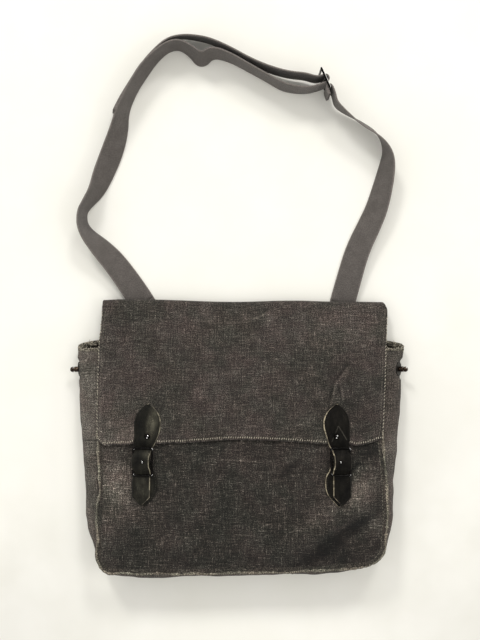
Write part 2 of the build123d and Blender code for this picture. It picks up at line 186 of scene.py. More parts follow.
def slab(name, mid, uv, thick, materials, bulge=1.0, rim_slot=None, under_slot=0):
    """A closed sheet round a grid of middle points, with a rounded rim.

    thick may differ from point to point. rim_slot gives the rim's material from the rim's points, under_slot
    the material of the underside.
    """
    rows, cols = mid.shape[:2]
    across, up = np.gradient(mid, axis=1), np.gradient(mid, axis=0)
    normal = unit(np.cross(across, up))
    half = (np.zeros((rows, cols)) + thick)[..., None] / 2
    index = np.arange(rows * cols).reshape(rows, cols)
    loop = np.concatenate([index[0, :-1], index[:-1, -1], index[-1, :0:-1], index[:0:-1, 0]])
    outward = np.zeros_like(mid)
    outward[0] -= unit(up[0])
    outward[-1] += unit(up[-1])
    outward[:, 0] -= unit(across[:, 0])
    outward[:, -1] += unit(across[:, -1])
    flat = lambda a: a.reshape(rows * cols, -1)
    rim = flat(mid)[loop] + unit(flat(outward)[loop]) * flat(half)[loop] * bulge
    points = np.concatenate([flat(mid + normal * half), flat(mid - normal * half), rim])
    size, ring = rows * cols, len(loop)
    a, b, c, d = index[:-1, :-1], index[:-1, 1:], index[1:, 1:], index[1:, :-1]
    quads = np.stack([a, b, c, d], -1).reshape(-1, 4)
    nxt = np.roll(np.arange(ring), -1)
    k, edge, edge_next = 2 * size + np.arange(ring), loop, loop[nxt]
    upper = np.stack([edge, k, k[nxt], edge_next], -1)
    lower = np.stack([k, edge + size, edge_next + size, k[nxt]], -1)
    faces = np.concatenate([quads, quads[:, ::-1] + size, upper, lower])
    slots = np.zeros(len(faces), int)
    slots[len(quads):2 * len(quads)] = under_slot
    if rim_slot is not None:
        slots[2 * len(quads):] = np.tile(rim_slot(rim), 2)
    uvs = np.concatenate([flat(uv), flat(uv), flat(uv)[loop]])
    return mesh_object(name, points, faces.tolist(), uvs, materials, slots)


def sweep(name, centres, across, up, ring, materials):
    """A closed solid with the ring's (across, up) outline carried along the centres, capped at both ends."""
    count, corners = len(centres), len(ring)
    ring = np.asarray(ring, float)
    body = centres[:, None] + across[:, None] * ring[None, :, :1] + up[:, None] * ring[None, :, 1:]
    points = np.concatenate([body.reshape(-1, 3), centres[:1], centres[-1:]])
    i, j = np.meshgrid(np.arange(count - 1), np.arange(corners), indexing="ij")
    nxt = (j + 1) % corners
    here, ahead = i * corners, (i + 1) * corners
    faces = np.stack([here + j, here + nxt, ahead + nxt, ahead + j], -1).reshape(-1, 4).tolist()
    last = (count - 1) * corners
    faces += [[count * corners, (k + 1) % corners, k] for k in range(corners)]
    faces += [[count * corners + 1, last + k, last + (k + 1) % corners] for k in range(corners)]
    v = along(centres)
    uv = np.stack(np.broadcast_arrays(ring[None, :, 0], v[:, None]), -1).reshape(-1, 2)
    uv = np.concatenate([uv, [[0, v[0]], [0, v[-1]]]])
    return mesh_object(name, points, faces, uv, materials)


def rounded_ring(width, height, across_steps=8):
    """A flat oval-ended outline, for webbing, bands and welts."""
    w, h = width / 2, height / 2
    xs = np.linspace(-w + h, w - h, across_steps)
    ring = [(x, h) for x in xs[::-1]]
    ring += [(-w + 0.35 * h, 0.75 * h), (-w, 0.0), (-w + 0.35 * h, -0.75 * h)]
    ring += [(x, -h) for x in xs]
    ring += [(w - 0.35 * h, -0.75 * h), (w, 0.0), (w - 0.35 * h, 0.75 * h)]
    return ring


def stitches(name, runs, radius, material, arch=0.5 * MM, sides=6, steps=6):
    """Threads: each run is (from, to, outward direction), rising out of the cloth and sinking back in."""
    t = np.linspace(0, 1, steps)
    points, faces, uvs = [], [], []
    turn = np.arange(sides) * 2 * math.pi / sides
    for a, b, out in runs:
        a, b, out = np.asarray(a, float), np.asarray(b, float), unit(np.asarray(out, float))
        line = a + (b - a) * t[:, None] + out * (arch * np.sin(math.pi * t))[:, None]
        side = unit(np.cross(b - a, out))
        size = radius * np.sqrt(np.clip(np.sin(math.pi * (0.06 + 0.88 * t)), 0, 1))
        first = len(points) * sides
        for p, r in zip(line, size):
            points.append(p + r * (np.cos(turn)[:, None] * side + np.sin(turn)[:, None] * out))
            uvs.append(np.stack([turn * radius, np.full(sides, np.linalg.norm(p - a))], -1))
        for i in range(steps - 1):
            for j in range(sides):
                low, high = first + i * sides, first + (i + 1) * sides
                k = (j + 1) % sides
                faces.append([low + j, high + j, high + k, low + k])
        faces.append([first + j for j in range(sides)])
        faces.append([first + (steps - 1) * sides + j for j in reversed(range(sides))])
    return mesh_object(name, np.concatenate(points), faces, np.concatenate(uvs), [material])


def run_along(points, pitch, length, slant=0.0, inset=0.3 * MM, out=UP):
    """Stitches at a pitch along a line, each of a length and turned by a slant, on the side that out faces."""
    far = along(points)
    found = []
    for s in np.arange(pitch / 2, far[-1], pitch):
        p = points_at(points, far, s)
        q = points_at(points, far, s + MM)
        if s + MM > far[-1]:
            q = 2 * p - points_at(points, far, s - MM)
        ahead = unit(q - p)
        step = (ahead * math.cos(slant) + np.cross(out, ahead) * math.sin(slant)) * length / 2
        found.append((p - step - out * inset, p + step - out * inset, out))
    return found


# ---- materials ---------------------------------------------------------------
class Shader:
    """A material's nodes: add() makes one, linking sockets and setting plain values."""

    def __init__(self, name, **settings):
        self.material = bpy.data.materials.new(name)
        self.material.use_nodes = True
        self.tree = self.material.node_tree
        self.surface = self.tree.nodes["Principled BSDF"]
        for key, value in settings.items():
            self.surface.inputs[key.replace("_", " ")].default_value = value

    def add(self, kind, out=0, inputs=(), **settings):
        """A node of a kind with its settings and inputs: its numbered output, or all of them for None."""
        node = self.tree.nodes.new("ShaderNode" + kind)
        for key, value in settings.items():
            setattr(node, key, value)
        for key, value in dict(inputs).items():
            if isinstance(value, bpy.types.NodeSocket):
                self.tree.links.new(value, node.inputs[key])
            else:
                node.inputs[key].default_value = value
        return node.outputs[out] if out is not None else node.outputs

    def cloth_uv(self):
        """Metres along the cloth."""
        return self.add("UVMap", uv_map="cloth")

    def math(self, operation, a, b=0.0, c=0.0):
        """A calculation with up to three values."""
        return self.add("Math", operation=operation, inputs={0: a, 1: b, 2: c})

    def noise(self, vector, scale, detail=3.0, rough=0.55, **mapped):
        """Noise at a vector; mapped is the Location or Scale that moves or stretches it."""
        if mapped:
            vector = self.add("Mapping", inputs={"Vector": vector, **mapped})
        inputs = {"Vector": vector, "Scale": scale, "Detail": detail, "Roughness": rough}
        return self.add("TexNoise", inputs=inputs)

    def ramp(self, value, low, high):
        """0 below low, 1 above high."""
        inputs = {0: value, 1: low, 2: high}
        return self.add("MapRange", inputs=inputs, clamp=True, interpolation_type="SMOOTHSTEP")

    def spread(self, value, low, high, base, gain):
        """base where the value is below low, and gain more where it is above high."""
        return self.math("MULTIPLY_ADD", self.ramp(value, low, high), gain, base)

    def mix(self, factor, a, b, blend="MIX"):
        """Colour a turned into b by the factor, or multiplied by b."""
        rgba = [c if isinstance(c, bpy.types.NodeSocket) else (*c, 1) for c in (a, b)]
        return self.add("Mix", 2, {0: factor, 6: rgba[0], 7: rgba[1]}, data_type="RGBA", blend_type=blend)

    def bump(self, height, distance, strength=1.0, **under):
        """Small relief, over the Normal of another one if that is given."""
        inputs = {"Height": height, "Distance": distance, "Strength": strength, **under}
        return self.add("Bump", inputs=inputs)

    def patches(self, value, uv, uneven, shades):
        """A value multiplied by soft oval patches.

        Each is (across, up, half width, half height, turn in degrees, gain), and may end with the share of it
        that is even.
        """
        for x, y, wide, tall, turn, gain, *core in shades:
            place = {"Vector": uv, "Location": (x, y, 0.0), "Scale": (wide, tall, 1.0),
                     "Rotation": (0.0, 0.0, math.radians(turn))}
            near = self.add("Mapping", inputs=place, vector_type="TEXTURE")
            far = self.add("VectorMath", 1, {0: near}, operation="LENGTH")
            far = self.math("ADD", far, self.math("MULTIPLY_ADD", uneven, 0.8, -0.4))
            inside = self.ramp(far, 1.15, core[0] if core else 0.0)
            value = self.math("MULTIPLY", value, self.math("MULTIPLY_ADD", inside, gain, 1.0))
        return value

    def shaded(self, colour, value):
        """A colour multiplied by a value."""
        grey = self.add("CombineColor", inputs={0: value, 1: value, 2: value})
        return self.mix(1.0, colour, grey, "MULTIPLY")

    def finish(self, colour, normal=None, rough=None):
        """Link the results to the surface and give the material."""
        for key, value in (("Base Color", colour), ("Normal", normal), ("Roughness", rough)):
            if value is not None:
                self.tree.links.new(value, self.surface.inputs[key])
        return self.material


def woven(name, dark, mid, light, threads, slub=0.5, fleck=0.5, patch=9.0, worn=None, worn_share=(),
          shades=()):
    """Plain weave with uneven threads: slubs both ways, pale flecks, faded patches and wear."""
    s = Shader(name, Roughness=0.92, Specular_IOR_Level=0.15, Sheen_Weight=0.06, Sheen_Roughness=0.6)
    uv = s.cloth_uv()
    wander = s.add("TexNoise", 1, {"Vector": uv, "Scale": 220.0})
    offset = s.add("VectorMath", operation="SCALE", inputs={0: wander, 3: 0.0006})
    bent = s.add("VectorMath", operation="ADD", inputs={0: uv, 1: offset})
    parts = s.add("SeparateXYZ", None, {0: bent})
    warp, weft = [s.math("SINE", s.math("MULTIPLY", parts[i], threads * math.pi)) for i in (0, 1)]
    weave = s.math("MULTIPLY_ADD", s.math("MULTIPLY", warp, weft), 0.5, 0.5)
    across = s.noise(bent, 760.0, 3.0, 0.6, Scale=(0.12, 1.0, 1.0))
    upward = s.noise(bent, 760.0, 3.0, 0.6, Scale=(1.0, 0.12, 1.0))
    long_slubs = s.noise(bent, 800.0, 2.0, 0.6, Scale=(0.05, 1.0, 1.0))
    tall_slubs = s.noise(bent, 620.0, 2.0, 0.6, Scale=(1.0, 0.06, 1.0))
    grain = s.noise(uv, 700.0, 3.0, 0.75)
    speck = s.noise(uv, 980.0, 2.0, 0.8)
    faded = s.noise(uv, patch, 4.0, 0.6)
    cloudy = s.noise(uv, patch * 3.1, 3.0, 0.6, Location=(0.31, 0.17, 0.0))
    colour = s.mix(s.ramp(faded, 0.40, 0.60), dark, mid)
    lift = s.math("MULTIPLY", s.ramp(s.math("ADD", across, upward), 0.88, 1.30), slub)
    colour = s.mix(lift, colour, light)
    flecks = s.math("MAXIMUM", s.ramp(across, 0.60, 0.72), s.ramp(upward, 0.61, 0.73))
    flecks = s.math("MULTIPLY", s.math("MULTIPLY", flecks, s.ramp(grain, 0.44, 0.60)), fleck)
    colour = s.mix(flecks, colour, [min(1.0, 2.1 * c) for c in light])
    shade = s.spread(grain, 0.38, 0.62, 0.32, 1.36)
    spreads = ((speck, 0.43, 0.57, 0.30, 1.40), (long_slubs, 0.38, 0.62, 0.79, 0.42),
               (tall_slubs, 0.38, 0.62, 0.83, 0.34), (cloudy, 0.3, 0.7, 0.83, 0.34))
    for spread in spreads:
        shade = s.math("MULTIPLY", shade, s.spread(*spread))
    shade = s.math("MULTIPLY", shade, s.math("MULTIPLY_ADD", weave, 0.30, 0.85))
    # the shades' patches multiply the tone: painted shade and painted highlight on the flap and front, tone
    # and a dark seam line on the gussets
    colour = s.shaded(colour, s.patches(shade, uv, cloudy, shades))
    tint = s.mix(s.ramp(s.noise(uv, 24.0, 3.0, 0.6), 0.36, 0.64), (0.965, 1.0, 0.985), (1.05, 0.985, 0.98))
    colour = s.mix(1.0, colour, tint, "MULTIPLY")
    if worn is not None:
        colour = s.mix(s.ramp(s.noise(uv, 420.0, 4.0, 0.65), *worn_share), colour, worn)
    height = s.math("MULTIPLY_ADD", upward, 1.0, s.math("MULTIPLY", grain, 1.4))
    height = s.math("ADD", weave, s.math("MULTIPLY_ADD", across, 1.4, height))
    normal = s.bump(cloudy, 0.0022, 0.35, Normal=s.bump(height, 0.0006, 0.9))
    return s.finish(colour, normal, s.math("MULTIPLY_ADD", grain, 0.12, 0.84))


def webbing(name, dark, light):
    """Close woven strap: ribs across it, fine ends along it and slightly worn edges."""
    picks = 620.0
    s = Shader(name, Roughness=0.85, Specular_IOR_Level=0.22, Sheen_Weight=0.15, Sheen_Roughness=0.5)
    uv = s.cloth_uv()
    u, v, _ = s.add("SeparateXYZ", None, {0: uv})
    zig = s.math("PINGPONG", s.math("ADD", u, 1.0), 0.004)
    ribs = s.math("SINE", s.math("MULTIPLY", s.math("ADD", v, zig), picks * 2 * math.pi))
    ends = s.math("SINE", s.math("MULTIPLY", u, picks * 1.6 * math.pi))
    grain = s.noise(uv, 1500.0, 3.0, 0.7)
    soft = s.noise(uv, 60.0, 4.0, 0.65)
    coarse = s.noise(uv, 640.0, 3.0, 0.7)
    colour = s.mix(s.ramp(soft, 0.25, 0.75), dark, light)
    edge = s.ramp(s.math("ABSOLUTE", u), 0.0150, 0.0170)
    edge = s.math("MULTIPLY", edge, s.math("MULTIPLY_ADD", coarse, 0.7, 0.15))
    colour = s.mix(edge, colour, [2.0 * c for c in light])
    tone = s.math("MULTIPLY_ADD", ribs, 0.10, s.spread(grain, 0.3, 0.7, 0.66, 0.34))
    tone = s.math("MULTIPLY_ADD", s.ramp(coarse, 0.36, 0.64), 0.52, tone)
    height = s.math("MULTIPLY_ADD", ribs, 0.5, s.math("MULTIPLY_ADD", ends, 0.25, grain))
    return s.finish(s.shaded(colour, tone), s.bump(height, 0.00025, 0.8))


def leather(name, dark, rubbed, shine=0.16, shades=()):
    """Black waxed hide with pores, fine creases and rubbed high spots; shades add patches of painted highlight
    and shade.
    """
    s = Shader(name, Roughness=0.5, Specular_IOR_Level=shine)
    uv = s.cloth_uv()
    pores = s.add("TexVoronoi", inputs={"Vector": uv, "Scale": 1500.0}, feature="DISTANCE_TO_EDGE")
    crease = s.noise(uv, 210.0, 5.0, 0.62, Scale=(1.0, 0.35, 1.0))
    cloudy = s.noise(uv, 70.0, 3.0, 0.55)
    scuff = s.ramp(s.noise(uv, 700.0, 4.0, 0.7), 0.54, 0.72)
    colour = s.mix(s.ramp(cloudy, 0.34, 0.68), dark, rubbed)
    colour = s.mix(s.math("MULTIPLY", scuff, 0.7), colour, [2.8 * c for c in rubbed])
    colour = s.shaded(colour, s.patches(s.spread(crease, 0.30, 0.70, 0.55, 0.8), uv, cloudy, shades))
    height = s.math("MULTIPLY_ADD", s.ramp(pores, 0.0, 0.12), 0.35, s.math("MULTIPLY", crease, 1.8))
    return s.finish(colour, s.bump(height, 0.0005, 0.6), s.spread(cloudy, 0.25, 0.75, 0.28, 0.20))


def cut_edge(name, pale, dark):
    """Raw leather edge: pale fibres with patches where the dye still holds."""
    s = Shader(name, Roughness=0.8, Specular_IOR_Level=0.3)
    spot = s.add("TexCoord", 3)
    patches = s.noise(spot, 190.0, 3.0, 0.6)
    fibres = s.noise(spot, 1800.0, 3.0, 0.6)
    colour = s.mix(s.ramp(patches, 0.38, 0.60), pale, dark)
    return s.finish(colour, s.bump(fibres, 0.0003, 0.6))


def metal(name, dark, worn, rough, metallic=0.9, glints=(), cone=(0.970, 0.985)):
    """Blackened or tarnished metal, worn in patches, with painted glints where it faces the given directions.
    """
    s = Shader(name, Metallic=metallic, Specular_IOR_Level=0.5)
    spot = s.add("TexCoord", 3)
    patches = s.noise(spot, 420.0, 4.0, 0.6)
    fine = s.noise(spot, 2600.0, 3.0, 0.6)
    colour = s.mix(s.ramp(patches, 0.46, 0.70), dark, worn)
    normal = s.add("TexCoord", 1)
    for direction in glints:
        facing = s.add("VectorMath", 1, {0: normal, 1: unit(np.array(direction))}, operation="DOT_PRODUCT")
        colour = s.mix(s.ramp(facing, *cone), colour, (0.95, 0.94, 0.92))
    return s.finish(colour, s.bump(fine, 0.00006, 0.35), s.math("MULTIPLY_ADD", patches, 0.16, rough))


def thread(name, colour, dirty):
    """Sewing thread, darker where it is dirty."""
    s = Shader(name, Roughness=0.8, Specular_IOR_Level=0.3)
    spots = s.noise(s.add("TexCoord", 3), 150.0, 4.0, 0.65)
    return s.finish(s.mix(s.ramp(spots, 0.48, 0.70), colour, dirty))


# each patch: (across, up, half width, half height, turn, gain and, for some, the even share);
# the flap's up runs on from the back, over the fold and down. Most of the flap's patches are painted shade
# and painted highlight along its folds and wrinkles; a few are faded cloth
FLAP_SHADES = (
    (-0.172, 0.555, 0.05, 0.075, 0, 0.7), (0.16, 0.49, 0.07, 0.08, 0, -0.28),
    (0.17, 0.4, 0.05, 0.04, 0, 0.45), (0.01, 0.388, 0.2, 0.026, 0, 0.22),
    (0.0255, 0.3865, 0.026, 0.0028, -22, 1.0), (-0.012, 0.398, 0.02, 0.003, -20, 0.4),
    (0.1363, 0.4646, 0.0026, 0.02, 38, -0.55), (0.1398, 0.4668, 0.0026, 0.019, 38, 1.4),
    (0.1236, 0.49, 0.0026, 0.018, 11, -0.55), (0.127, 0.49, 0.0026, 0.018, 11, 1.4),
    (0.1445, 0.467, 0.0024, 0.014, 30, 0.9), (0.1378, 0.491, 0.0024, 0.016, -9, 1.4),
    (0.1346, 0.491, 0.002, 0.014, -9, -0.4), (-0.135, 0.545, 0.05, 0.025, 0, 0.4),
    (0.11, 0.41, 0.05, 0.04, -30, 0.3), (-0.19, 0.46, 0.012, 0.1, 0, 0.25),
    (0.172, 0.47, 0.016, 0.05, 25, 0.35),
)
# most of the front's patches are painted shade and painted highlight along its folds and creases and on its
# lighter left side; a few are faded cloth
FRONT_SHADES = (
    (-0.178, -0.07, 0.04, 0.09, 0, 1.3), (-0.16, -0.06, 0.05, 0.03, -35, 0.7),
    (-0.135, -0.07, 0.034, 0.07, 0, 0.4), (0.163, -0.066, 0.026, 0.04, -32, 1.9),
    (0.12, -0.094, 0.07, 0.014, 34, 0.9), (0.128, -0.134, 0.075, 0.0125, 34, -0.66, 0.4),
    (0.15, -0.118, 0.05, 0.01, 30, -0.35), (0.115, -0.158, 0.085, 0.024, 8, -0.5),
    (0.172, -0.014, 0.024, 0.022, 0, -0.45), (0.068, -0.038, 0.028, 0.008, 42, -0.55),
    (0.006, -0.029, 0.055, 0.0018, -3, 1.3), (0.006, -0.127, 0.012, 0.0016, 0, 2.0),
    (-0.06, -0.155, 0.12, 0.024, 0, -0.2), (0.182, -0.112, 0.016, 0.022, 0, 1.0),
    (0.108, -0.163, 0.004, 0.003, 0, 2.2), (-0.15, -0.13, 0.04, 0.03, 0, -0.25),
    (0.06, -0.1, 0.0012, 0.08, 0, 0.7), (0.15, -0.04, 0.03, 0.006, 38, -0.5),
)
GUSSET_SHADES = (
    (0.34, 0.1, 0.12, 0.22, 0, 0.35), (0.34, 0.88, 0.12, 0.12, 0, -0.2),
    (0.34, 0.1305, 0.08, 0.001, 0, -0.6, 0.4),
)
CANVAS = woven("canvas", (0.031, 0.0280, 0.0230), (0.046, 0.0370, 0.0330), (0.115, 0.100, 0.085), 1150.0,
               patch=14.0, shades=FLAP_SHADES)
CANVAS_FRONT = woven("canvas_front", (0.0174, 0.0163, 0.0130), (0.0268, 0.0221, 0.0190),
                     (0.088, 0.078, 0.066), 1150.0, 0.55, 0.85, patch=14.0, shades=FRONT_SHADES)
CANVAS_GUSSET = woven("canvas_gusset", (0.056, 0.049, 0.041), (0.086, 0.073, 0.064), (0.19, 0.168, 0.143),
                      1150.0, 0.35, 0.25, shades=GUSSET_SHADES)
CANVAS_SEAM = woven("canvas_seam", (0.024, 0.022, 0.018), (0.038, 0.032, 0.027), (0.12, 0.105, 0.085),
                    1150.0, 0.5, worn=(0.20, 0.18, 0.14), worn_share=(0.62, 0.76))
# the inside of the sack: unfaded cloth made far darker by painted shade, as the inside lies in shadow
CANVAS_INSIDE_SHADED = woven("canvas_inside_shaded", (0.010, 0.009, 0.007), (0.014, 0.012, 0.010), (0.03, 0.027, 0.022),
                      1150.0, 0.3, 0.2)
WORN_EDGE = woven("worn_edge", (0.10, 0.091, 0.071), (0.165, 0.150, 0.117), (0.30, 0.275, 0.215),
                  900.0, 0.6, 0.35)
FRAYED = woven("frayed_cloth", (0.020, 0.018, 0.014), (0.065, 0.058, 0.045), (0.36, 0.33, 0.26),
               900.0, 0.8, 0.8)
WEBBING = webbing("strap_webbing", (0.077, 0.068, 0.0615), (0.104, 0.092, 0.084))
# painted highlight and painted shade on the closures' leather, as patches in the hide's (across, up): the left
# tab's lit right half, its lighter hump and tail, its shaded left side; small highlights on the right tab
LEFT_TAB_PAINTED_LIGHT = (
    (0.1125, 0.051, 0.0095, 0.027, -8, 6.0), (0.1055, 0.009, 0.007, 0.008, 0, 4.0),
    (0.098, -0.036, 0.015, 0.026, 0, 1.6), (0.0955, 0.045, 0.0085, 0.034, 0, -0.5),
    (0.094, 0.0, 0.01, 0.014, 0, -0.3),
)
RIGHT_TAB_PAINTED_LIGHT = ((0.404, 0.058, 0.010, 0.014, 0, 0.6), (0.400, 0.006, 0.008, 0.008, 0, 1.2))
# the two closures' hides are one leather: the left is the lit copy, the right a darker, duller copy that
# stands for painted shade
LEATHER = leather("black_leather", (0.0058, 0.0053, 0.0038), (0.0130, 0.0122, 0.0088), 0.10, LEFT_TAB_PAINTED_LIGHT)
LEATHER_SHADED = leather("black_leather_shaded", (0.0040, 0.0035, 0.0029), (0.0080, 0.0071, 0.0056), 0.06,
                       RIGHT_TAB_PAINTED_LIGHT)
# painted highlight along the sharp crease ridges of the right tab
CREASE_HIGHLIGHT = leather("leather_crease_highlight", (0.022, 0.020, 0.016), (0.045, 0.041, 0.033), 0.1)
RAW_EDGE = cut_edge("raw_leather_edge", (0.42, 0.36, 0.25), (0.10, 0.085, 0.060))
WORN_RAW_EDGE = cut_edge("worn_leather_edge", (0.27, 0.24, 0.17), (0.07, 0.062, 0.046))
# painted shade on the leather edges that look dark, mostly those facing away from the sack's middle
SHADED_EDGE = cut_edge("leather_edge_painted_shade", (0.03, 0.026, 0.020), (0.009, 0.008, 0.007))
# the directions and cone of each finish place painted glints: the buckle's corners, the stud's two glints, the
# post's crescent and a small highlight on the gusset studs
BLACK_METAL = metal("blackened_metal", (0.0075, 0.0070, 0.0065), (0.020, 0.019, 0.018), 0.16, 1.0,
                    ((0.60, 0.45, 0.66), (0.60, -0.45, 0.66)), (0.925, 0.942))
STUD_METAL = metal("stud_metal", (0.0065, 0.0060, 0.0056), (0.016, 0.015, 0.014), 0.16, 1.0,
                   ((0.36, 0.36, 0.86), (0.02, -0.44, 0.90)), (0.970, 0.982))
POST_METAL = metal("post_metal", (0.0075, 0.0070, 0.0065), (0.020, 0.019, 0.018), 0.16, 1.0,
                   ((-0.30, 0.36, 0.88), (-0.05, -0.42, 0.90)), (0.935, 0.960))
COPPERY = metal("coppery_metal", (0.024, 0.017, 0.013), (0.11, 0.078, 0.055), 0.20, 1.0,
                ((0.30, 0.62, 0.72),))
DULL_METAL = metal("dull_metal", (0.010, 0.008, 0.0065), (0.028, 0.022, 0.017), 0.45, 0.8)
STEEL = metal("plain_steel", (0.32, 0.31, 0.30), (0.5, 0.49, 0.47), 0.32)
PALE_THREAD = thread("pale_thread", (0.42, 0.38, 0.30), (0.10, 0.09, 0.07))
GREY_THREAD = thread("grey_thread", (0.22, 0.20, 0.155), (0.05, 0.045, 0.036))
DARK_THREAD = thread("dark_thread", (0.05, 0.045, 0.036), (0.020, 0.018, 0.014))

# ---- shoulder strap: the CAD's routes, with the height of the strap's middle --
WEB, WEB_THICK = 0.035, 0.0022
WEB_HEM_THICK, WEB_HEM_GAP = 0.0017, 0.0006
WEB_RING = rounded_ring(WEB, WEB_THICK, 12)
SLIDER_AT = (0.1157, 0.4882)
SLIDER_TURN = math.radians(24.0)
SLIDER_PITCH = 0.0135
ON_RAIL = 0.0208                        # the strap's middle where it stands on the slider's rail


def slider_point(out_along, out):
    """A point near the slider: along its line of bars, and out to the right of it."""
    x, y = SLIDER_AT
    s, c = math.sin(SLIDER_TURN), math.cos(SLIDER_TURN)
    return (x - out_along * s + out * c, y + out_along * c + out * s, ON_RAIL)


# each point: x, y, height of the middle; each turn: degrees from lying flat, 90 standing on edge
LONG_ROUTE = [
    (-0.135, 0.183, 0.0012), (-0.15, 0.207, 0.0052), (-0.173, 0.239, 0.008), (-0.1895, 0.257, 0.0105),
    (-0.216, 0.284, 0.0165), (-0.2185, 0.308, 0.0172), (-0.2105, 0.321, 0.017), (-0.198, 0.338, 0.0155),
    (-0.189, 0.362, 0.0125), (-0.177, 0.392, 0.0115), (-0.167, 0.422, 0.0138), (-0.162, 0.45, 0.0165),
    (-0.148, 0.48, 0.017), (-0.1335, 0.5035, 0.0168), (-0.119, 0.521, 0.0172), (-0.101, 0.5365, 0.0174),
    (-0.084, 0.5405, 0.0174), (-0.0675, 0.531, 0.0172), (-0.0535, 0.517, 0.0164), (-0.0385, 0.53, 0.0172),
    (-0.014, 0.5225, 0.0175), (0.011, 0.5085, 0.0176), (0.037, 0.494, 0.0178), (0.058, 0.4815, 0.0184),
    (0.077, 0.477, 0.0194), (0.0935, 0.476, 0.0204), slider_point(-0.005, -0.01),
    slider_point(-0.005, 0.0048), slider_point(0.0, 0.0048),
]
LONG_TURNS = [3, 17, 26, 37, 70, 80, 76, 62, 46, 40, 52, 70, 76, 73, 80, 84, 83, 78, 68, 80, 85, 87, 88, 86,
              88, 90, 90, 90, 90]
TAIL_ROUTE = [
    slider_point(0.0, 0.0048), slider_point(0.005, 0.0048), slider_point(0.0056, -0.009),
    (0.0895, 0.4952, 0.02), (0.071, 0.497, 0.0192), (0.0535, 0.501, 0.0184), (0.0305, 0.509, 0.0178),
    (0.011, 0.518, 0.0176), (-0.014, 0.5325, 0.0175), (-0.0385, 0.544, 0.0173), (-0.058, 0.549, 0.0172),
    (-0.08, 0.551, 0.0174), (-0.102, 0.5465, 0.0174), (-0.124, 0.528, 0.0174), (-0.141, 0.507, 0.0172),
    (-0.156, 0.483, 0.0172), (-0.1685, 0.4615, 0.017), (-0.1745, 0.4475, 0.0168),
]
TAIL_TURNS = [90, 90, 90, 90, 90, 90, 90, 90, 92, 94, 96, 99, 102, 105, 105, 104, 102, 100]
SHORT_ROUTE = [
    (0.1425, 0.183, 0.0012), (0.15, 0.212, 0.0046), (0.163, 0.258, 0.007), (0.18, 0.293, 0.0085),
    (0.1915, 0.32, 0.0105), (0.204, 0.374, 0.0145), (0.203, 0.396, 0.0172), (0.19, 0.417, 0.0175),
    (0.167, 0.4315, 0.0176), (0.145, 0.446, 0.0184), (0.1315, 0.457, 0.0198),
    slider_point(-SLIDER_PITCH - 0.009, 0.0044), slider_point(-SLIDER_PITCH + 0.0042, 0.0044),
    slider_point(-SLIDER_PITCH + 0.0042, -0.0044), slider_point(-SLIDER_PITCH - 0.009, -0.0044),
]
SHORT_TURNS = [3, 14, 22, 28, 37, 58, 84, 107, 110, 97, 90, 90, 90, 90, 90]


def nurbs_line(points):
    """Points along the smooth spline with these control points."""
    curve = bpy.data.curves.new("route", "CURVE")
    curve.dimensions = "3D"
    curve.resolution_u = 14
    spline = curve.splines.new("NURBS")
    spline.points.add(len(points) - 1)
    for place, p in zip(spline.points, points):
        place.co = (*p, 1.0)
    spline.order_u = 3
    spline.use_endpoint_u = True
    holder = bpy.data.objects.new("route", curve)
    mesh = bpy.data.meshes.new_from_object(holder)
    line = np.array([v.co for v in mesh.vertices], float)
    bpy.data.objects.remove(holder)
    bpy.data.curves.remove(curve)
    bpy.data.meshes.remove(mesh)
    return line


def strap(name, route, turns, lean, node):
    """Webbing along a route. Its upper edge leans to the right of the way it runs for lean 1, left for -1."""
    line = nurbs_line(route)
    turn = nurbs_line([(x, y, math.radians(t)) for (x, y, _), t in zip(route, turns)])[:, 2]
    ahead = unit(np.gradient(line, axis=0))
    aside = unit(np.cross(ahead, UP)) * lean
    across = aside * np.cos(turn)[:, None] + UP * np.sin(turn)[:, None]
    across = unit(across - ahead * np.sum(across * ahead, axis=1, keepdims=True))
    made = sweep(name, line, across, np.cross(ahead, across), WEB_RING, [WEBBING])
    belongs(made, "sack", "webbing", node)
    return made, line, across


strap_long, long_line, _ = strap("strap_long", LONG_ROUTE, LONG_TURNS, -1, "shoulder_strap_long")
strap_tail, tail_line, tail_across = strap("strap_tail", TAIL_ROUTE, TAIL_TURNS, 1, "shoulder_strap_tail")
strap_short, short_line, short_across = strap("strap_short", SHORT_ROUTE, SHORT_TURNS, 1,
                                              "shoulder_strap_short")


def hem_band(name, line, across, width):
    """A second layer of the strap folded over its end, covering the last of its line."""
    far = along(line)
    keep = far > far[-1] - width
    centres, sides = line[keep], across[keep]
    out = np.cross(unit(np.gradient(centres, axis=0)), sides)
    centres = centres + out * (WEB_THICK / 2 + WEB_HEM_GAP)
    made = sweep(name, centres, sides, out, rounded_ring(WEB * 0.985, WEB_HEM_THICK, 12), [WEBBING])
    belongs(made, "sack", "webbing")
    return made


tail_hem = hem_band("strap_tail_hem", tail_line, -tail_across, 0.013)
short_hem = hem_band("strap_short_hem", short_line, -short_across, 0.012)


